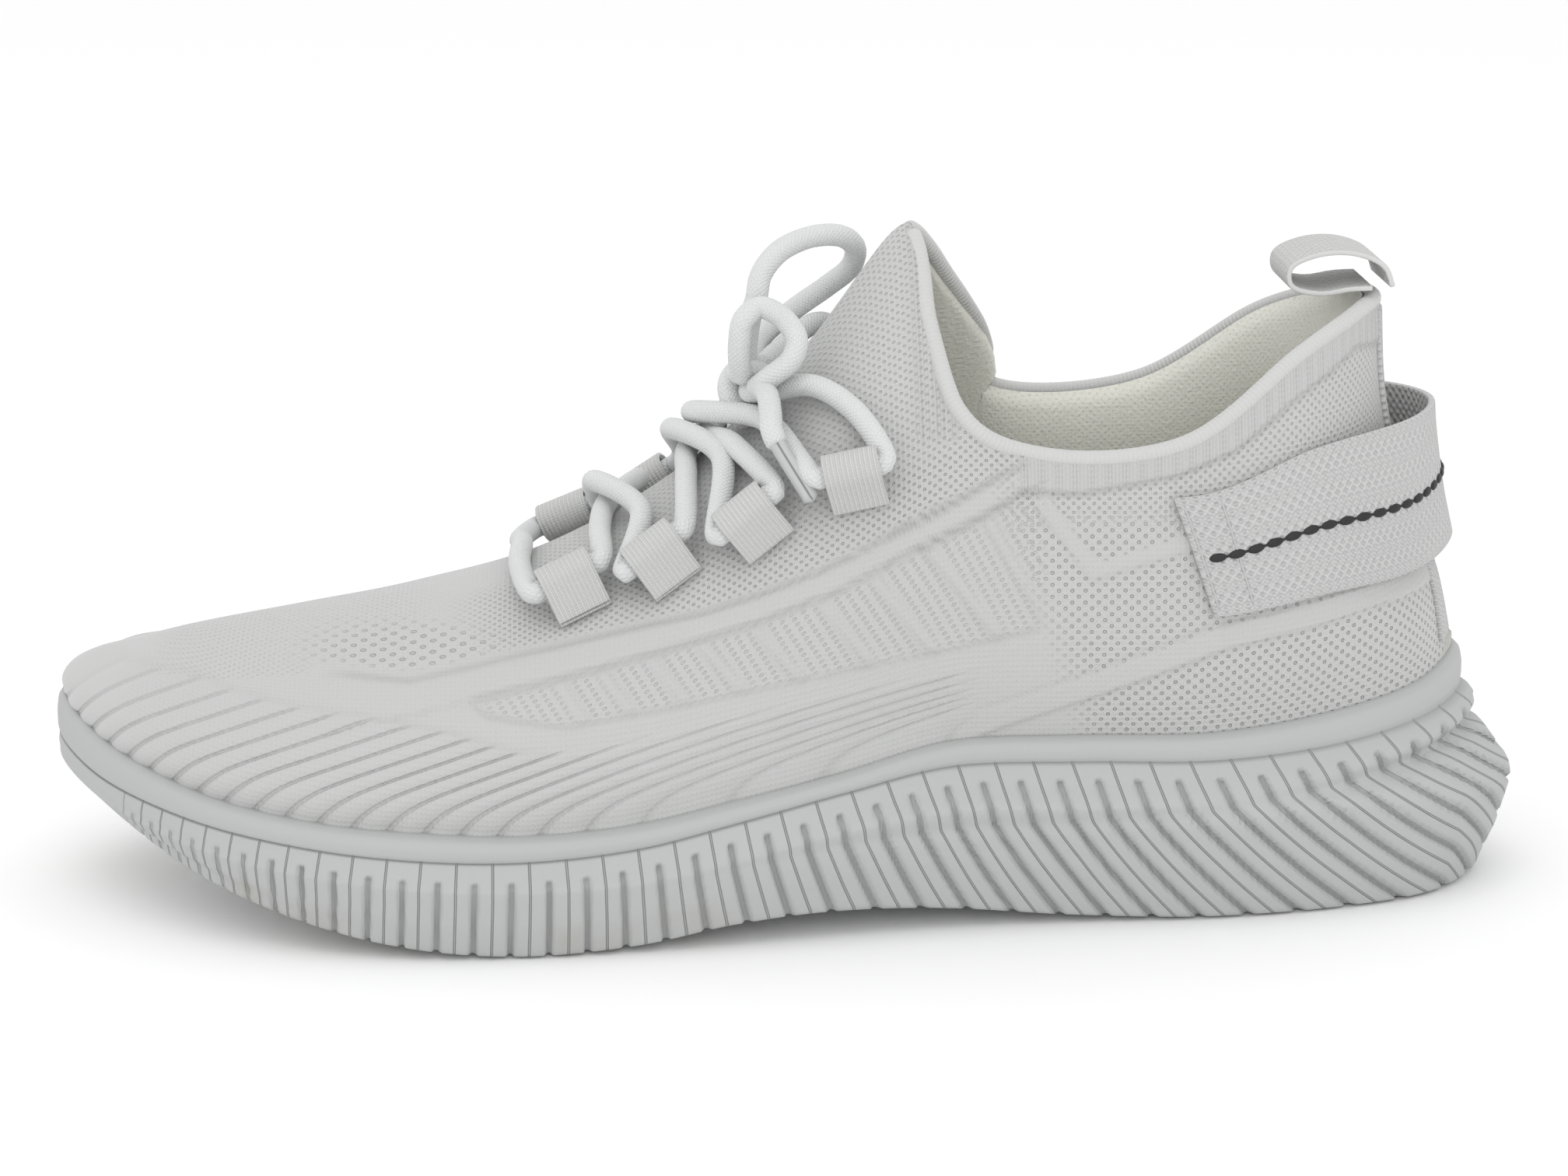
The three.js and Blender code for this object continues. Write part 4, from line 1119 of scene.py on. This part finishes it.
strapForm = {
    "reach": 3.0, "low": (0.33, 0.04, 0), "high": (0.71, 0, 0.013), "off": 0.35, "standOff": (4.3, 8.6),
    "webbing": 1.5, "plan": (165, 25), "seams": (0.985, 0.9),
}
threadForm = {
    "across": 0.485, "pitch": 3.9, "margin": 1.2, "dash": (1.75, 0.88, 0.45), "link": (0.9, 0.28, 0.22),
}


def strapAt(place, across, lift):
    s = place * (strapForm["reach"] + 0.16 * across)  # below 0 on the inner side
    lines = (strapForm["low"], strapForm["high"])
    low, high = (a + b * np.abs(s) + c * s * s for a, b, c in lines)
    away = 1 - smoothStep(np.abs(s), 0, 2.4)
    lowOff, highOff = strapForm["standOff"]
    out = strapForm["off"] + away * (lowOff + (highOff - lowOff) * across) + lift
    return onLast(np.mod(s, wholeLoop), low * (1 - across) + high * across, out)


def strapPlace(u, v):
    return strapAt(u * 2 - 1, v, strapForm["webbing"] / 2)


def strapPlan(u, v):
    long, wide = strapForm["plan"]
    return (u - 0.5) * long, v * wide


strap = gridMesh("heelStrap", 150, 24, strapPlace, strapCloth, strapPlan)
addSolidify(strap, strapForm["webbing"] * wallShare, 0, 0.35)
ridesOn(strap, "rear", "webbing", "heel_strap")


def addStitch(bm, at, turn, size, segments, rings):
    place = Matrix.Translation(Vector(toMetres(at))) @ turn @ Matrix.Diagonal((*[c * mm for c in size], 1))
    bmesh.ops.create_uvsphere(bm, u_segments=segments, v_segments=rings, radius=1, matrix=place)


def sewStrap(form):
    def onStrap(place, lift, across=form["across"]):
        return strapAt(np.array([place]), np.array([across]), strapForm["webbing"] + lift)[0]

    line = np.linspace(-1, 1, 500)
    arc = arcAlong(strapAt(line, np.full_like(line, form["across"]), strapForm["webbing"] + 0.15))
    count = int((arc[-1] - form["margin"]) / form["pitch"])
    bm = bmesh.new()
    for k in range(count):
        d = arc[-1] / 2 + (k - (count - 1) / 2) * form["pitch"]
        place = np.interp(d, arc, line)
        here = onStrap(place, 0.1)
        x = Vector(unit(onStrap(place + 0.004, 0.1) - here))
        z = x.cross(Vector(unit(onStrap(place, 0.1, 0.53) - here))).normalized()
        turn = Matrix((x, z.cross(x), z)).transposed().to_4x4()
        addStitch(bm, here, turn, form["dash"], 12, 8)
        if k < count - 1:
            halfway = np.interp(d + form["pitch"] / 2, arc, line)
            addStitch(bm, onStrap(halfway, 0.02), turn, form["link"], 8, 6)
    piece = finishMesh(meshFrom(bm, "strapStitches"), "strapStitches", False, False, blackThread)
    ridesOn(piece, "rear", "thread", "strap_thread")


def sewStrapEnds():
    across = np.linspace(0.06, 0.94, 12)
    for side, word in ((1, "Outer"), (-1, "Inner")):
        for k, inset in enumerate(strapForm["seams"]):
            points = strapAt(np.full_like(across, side * inset), across, strapForm["webbing"] + 0.02)
            seam, _, _ = cordMesh(f"strapSeam{word}{k}", points, 0.45, whiteThread, 0.8, around=6)
            ridesOn(seam, "rear", "thread")


sewStrap(threadForm)
sewStrapEnds()

tapeForm = {"half": 0.5, "thickness": 1.0, "from": 0.06, "run": 0.91, "off": 0.42, "plan": (70, 20)}


def tapePlace(u, v):
    s = (v - 0.5) * 2 * tapeForm["half"]
    return onLast(np.mod(s, wholeLoop), tapeForm["from"] + u * tapeForm["run"], tapeForm["off"])


def tapePlan(u, v):
    long, wide = tapeForm["plan"]
    return u * long, v * wide


heelTape = gridMesh("heelTape", 60, 16, tapePlace, tapeCloth, tapePlan)
addSolidify(heelTape, tapeForm["thickness"] * wallShare, 0, 0.2)
ridesOn(heelTape, "rear", "webbing", "heel_tape")

tabForm = {
    "line": [(-118.6, 120.6), (-116.8, 124.6), (-111, 127.2), (-103.6, 127), (-98.4, 124.4), (-98.6, 121),
             (-104, 119.4), (-110.4, 120.2), (-114.6, 120.4)],
    "width": 19.6, "thickness": 1.1,
}


def makeTab():
    path, length = smoothPath([(0, y, z) for y, z in tabForm["line"]], 0.6)
    count = len(path) - 1

    def place(u, v):
        p = path[nearestStep(u, count)].copy()
        p[:, 0] = (v - 0.5) * tabForm["width"]
        return p

    tab = gridMesh("pullTab", count, 16, place, tabCloth, lambda u, v: (u * length, v * 20))
    addSolidify(tab, tabForm["thickness"] * wallShare, 0, 0.3)
    ridesOn(tab, "tab", "webbing", "pull_tab")


makeTab()
print("strap, tape and tab sewn")

# studio

studio = {
    "floor": (0.97, 0.97, 0.97),
    "world": 1.0,
    "lights": [("softTop", (-0.35, 0.25, 1.3), (0, 0, 0.05), 1.0, 2.2),
               ("softSide", (-1.3, -0.15, 0.55), (0, 0, 0.06), 0.9, 2.4)],
}


def lightArea(name, place, target, size, power):
    data = bpy.data.lights.new(name, "AREA")
    data.shape = "DISK"
    data.size = size
    data.energy = power
    light = addObject(name, data)
    light.location = place
    light.rotation_euler = (Vector(target) - Vector(place)).to_track_quat("-Z", "Y").to_euler()


def setStudio(form):
    bm = bmesh.new()
    bmesh.ops.create_grid(bm, x_segments=1, y_segments=1, size=6)
    floor = addObject("studioFloor", meshFrom(bm, "studioFloor"))
    floor.data.materials.append(Finish("studioPaper", form["floor"], 0.9).material)
    world = bpy.data.worlds.new("studioAir")
    world.use_nodes = True
    air = world.node_tree.nodes["Background"].inputs
    air["Color"].default_value = (1, 1, 1, 1)
    air["Strength"].default_value = form["world"]
    bpy.context.scene.world = world
    for light in form["lights"]:
        lightArea(*light)
    bpy.context.scene.view_settings.view_transform = "Standard"


setStudio(studio)
print("studio set")
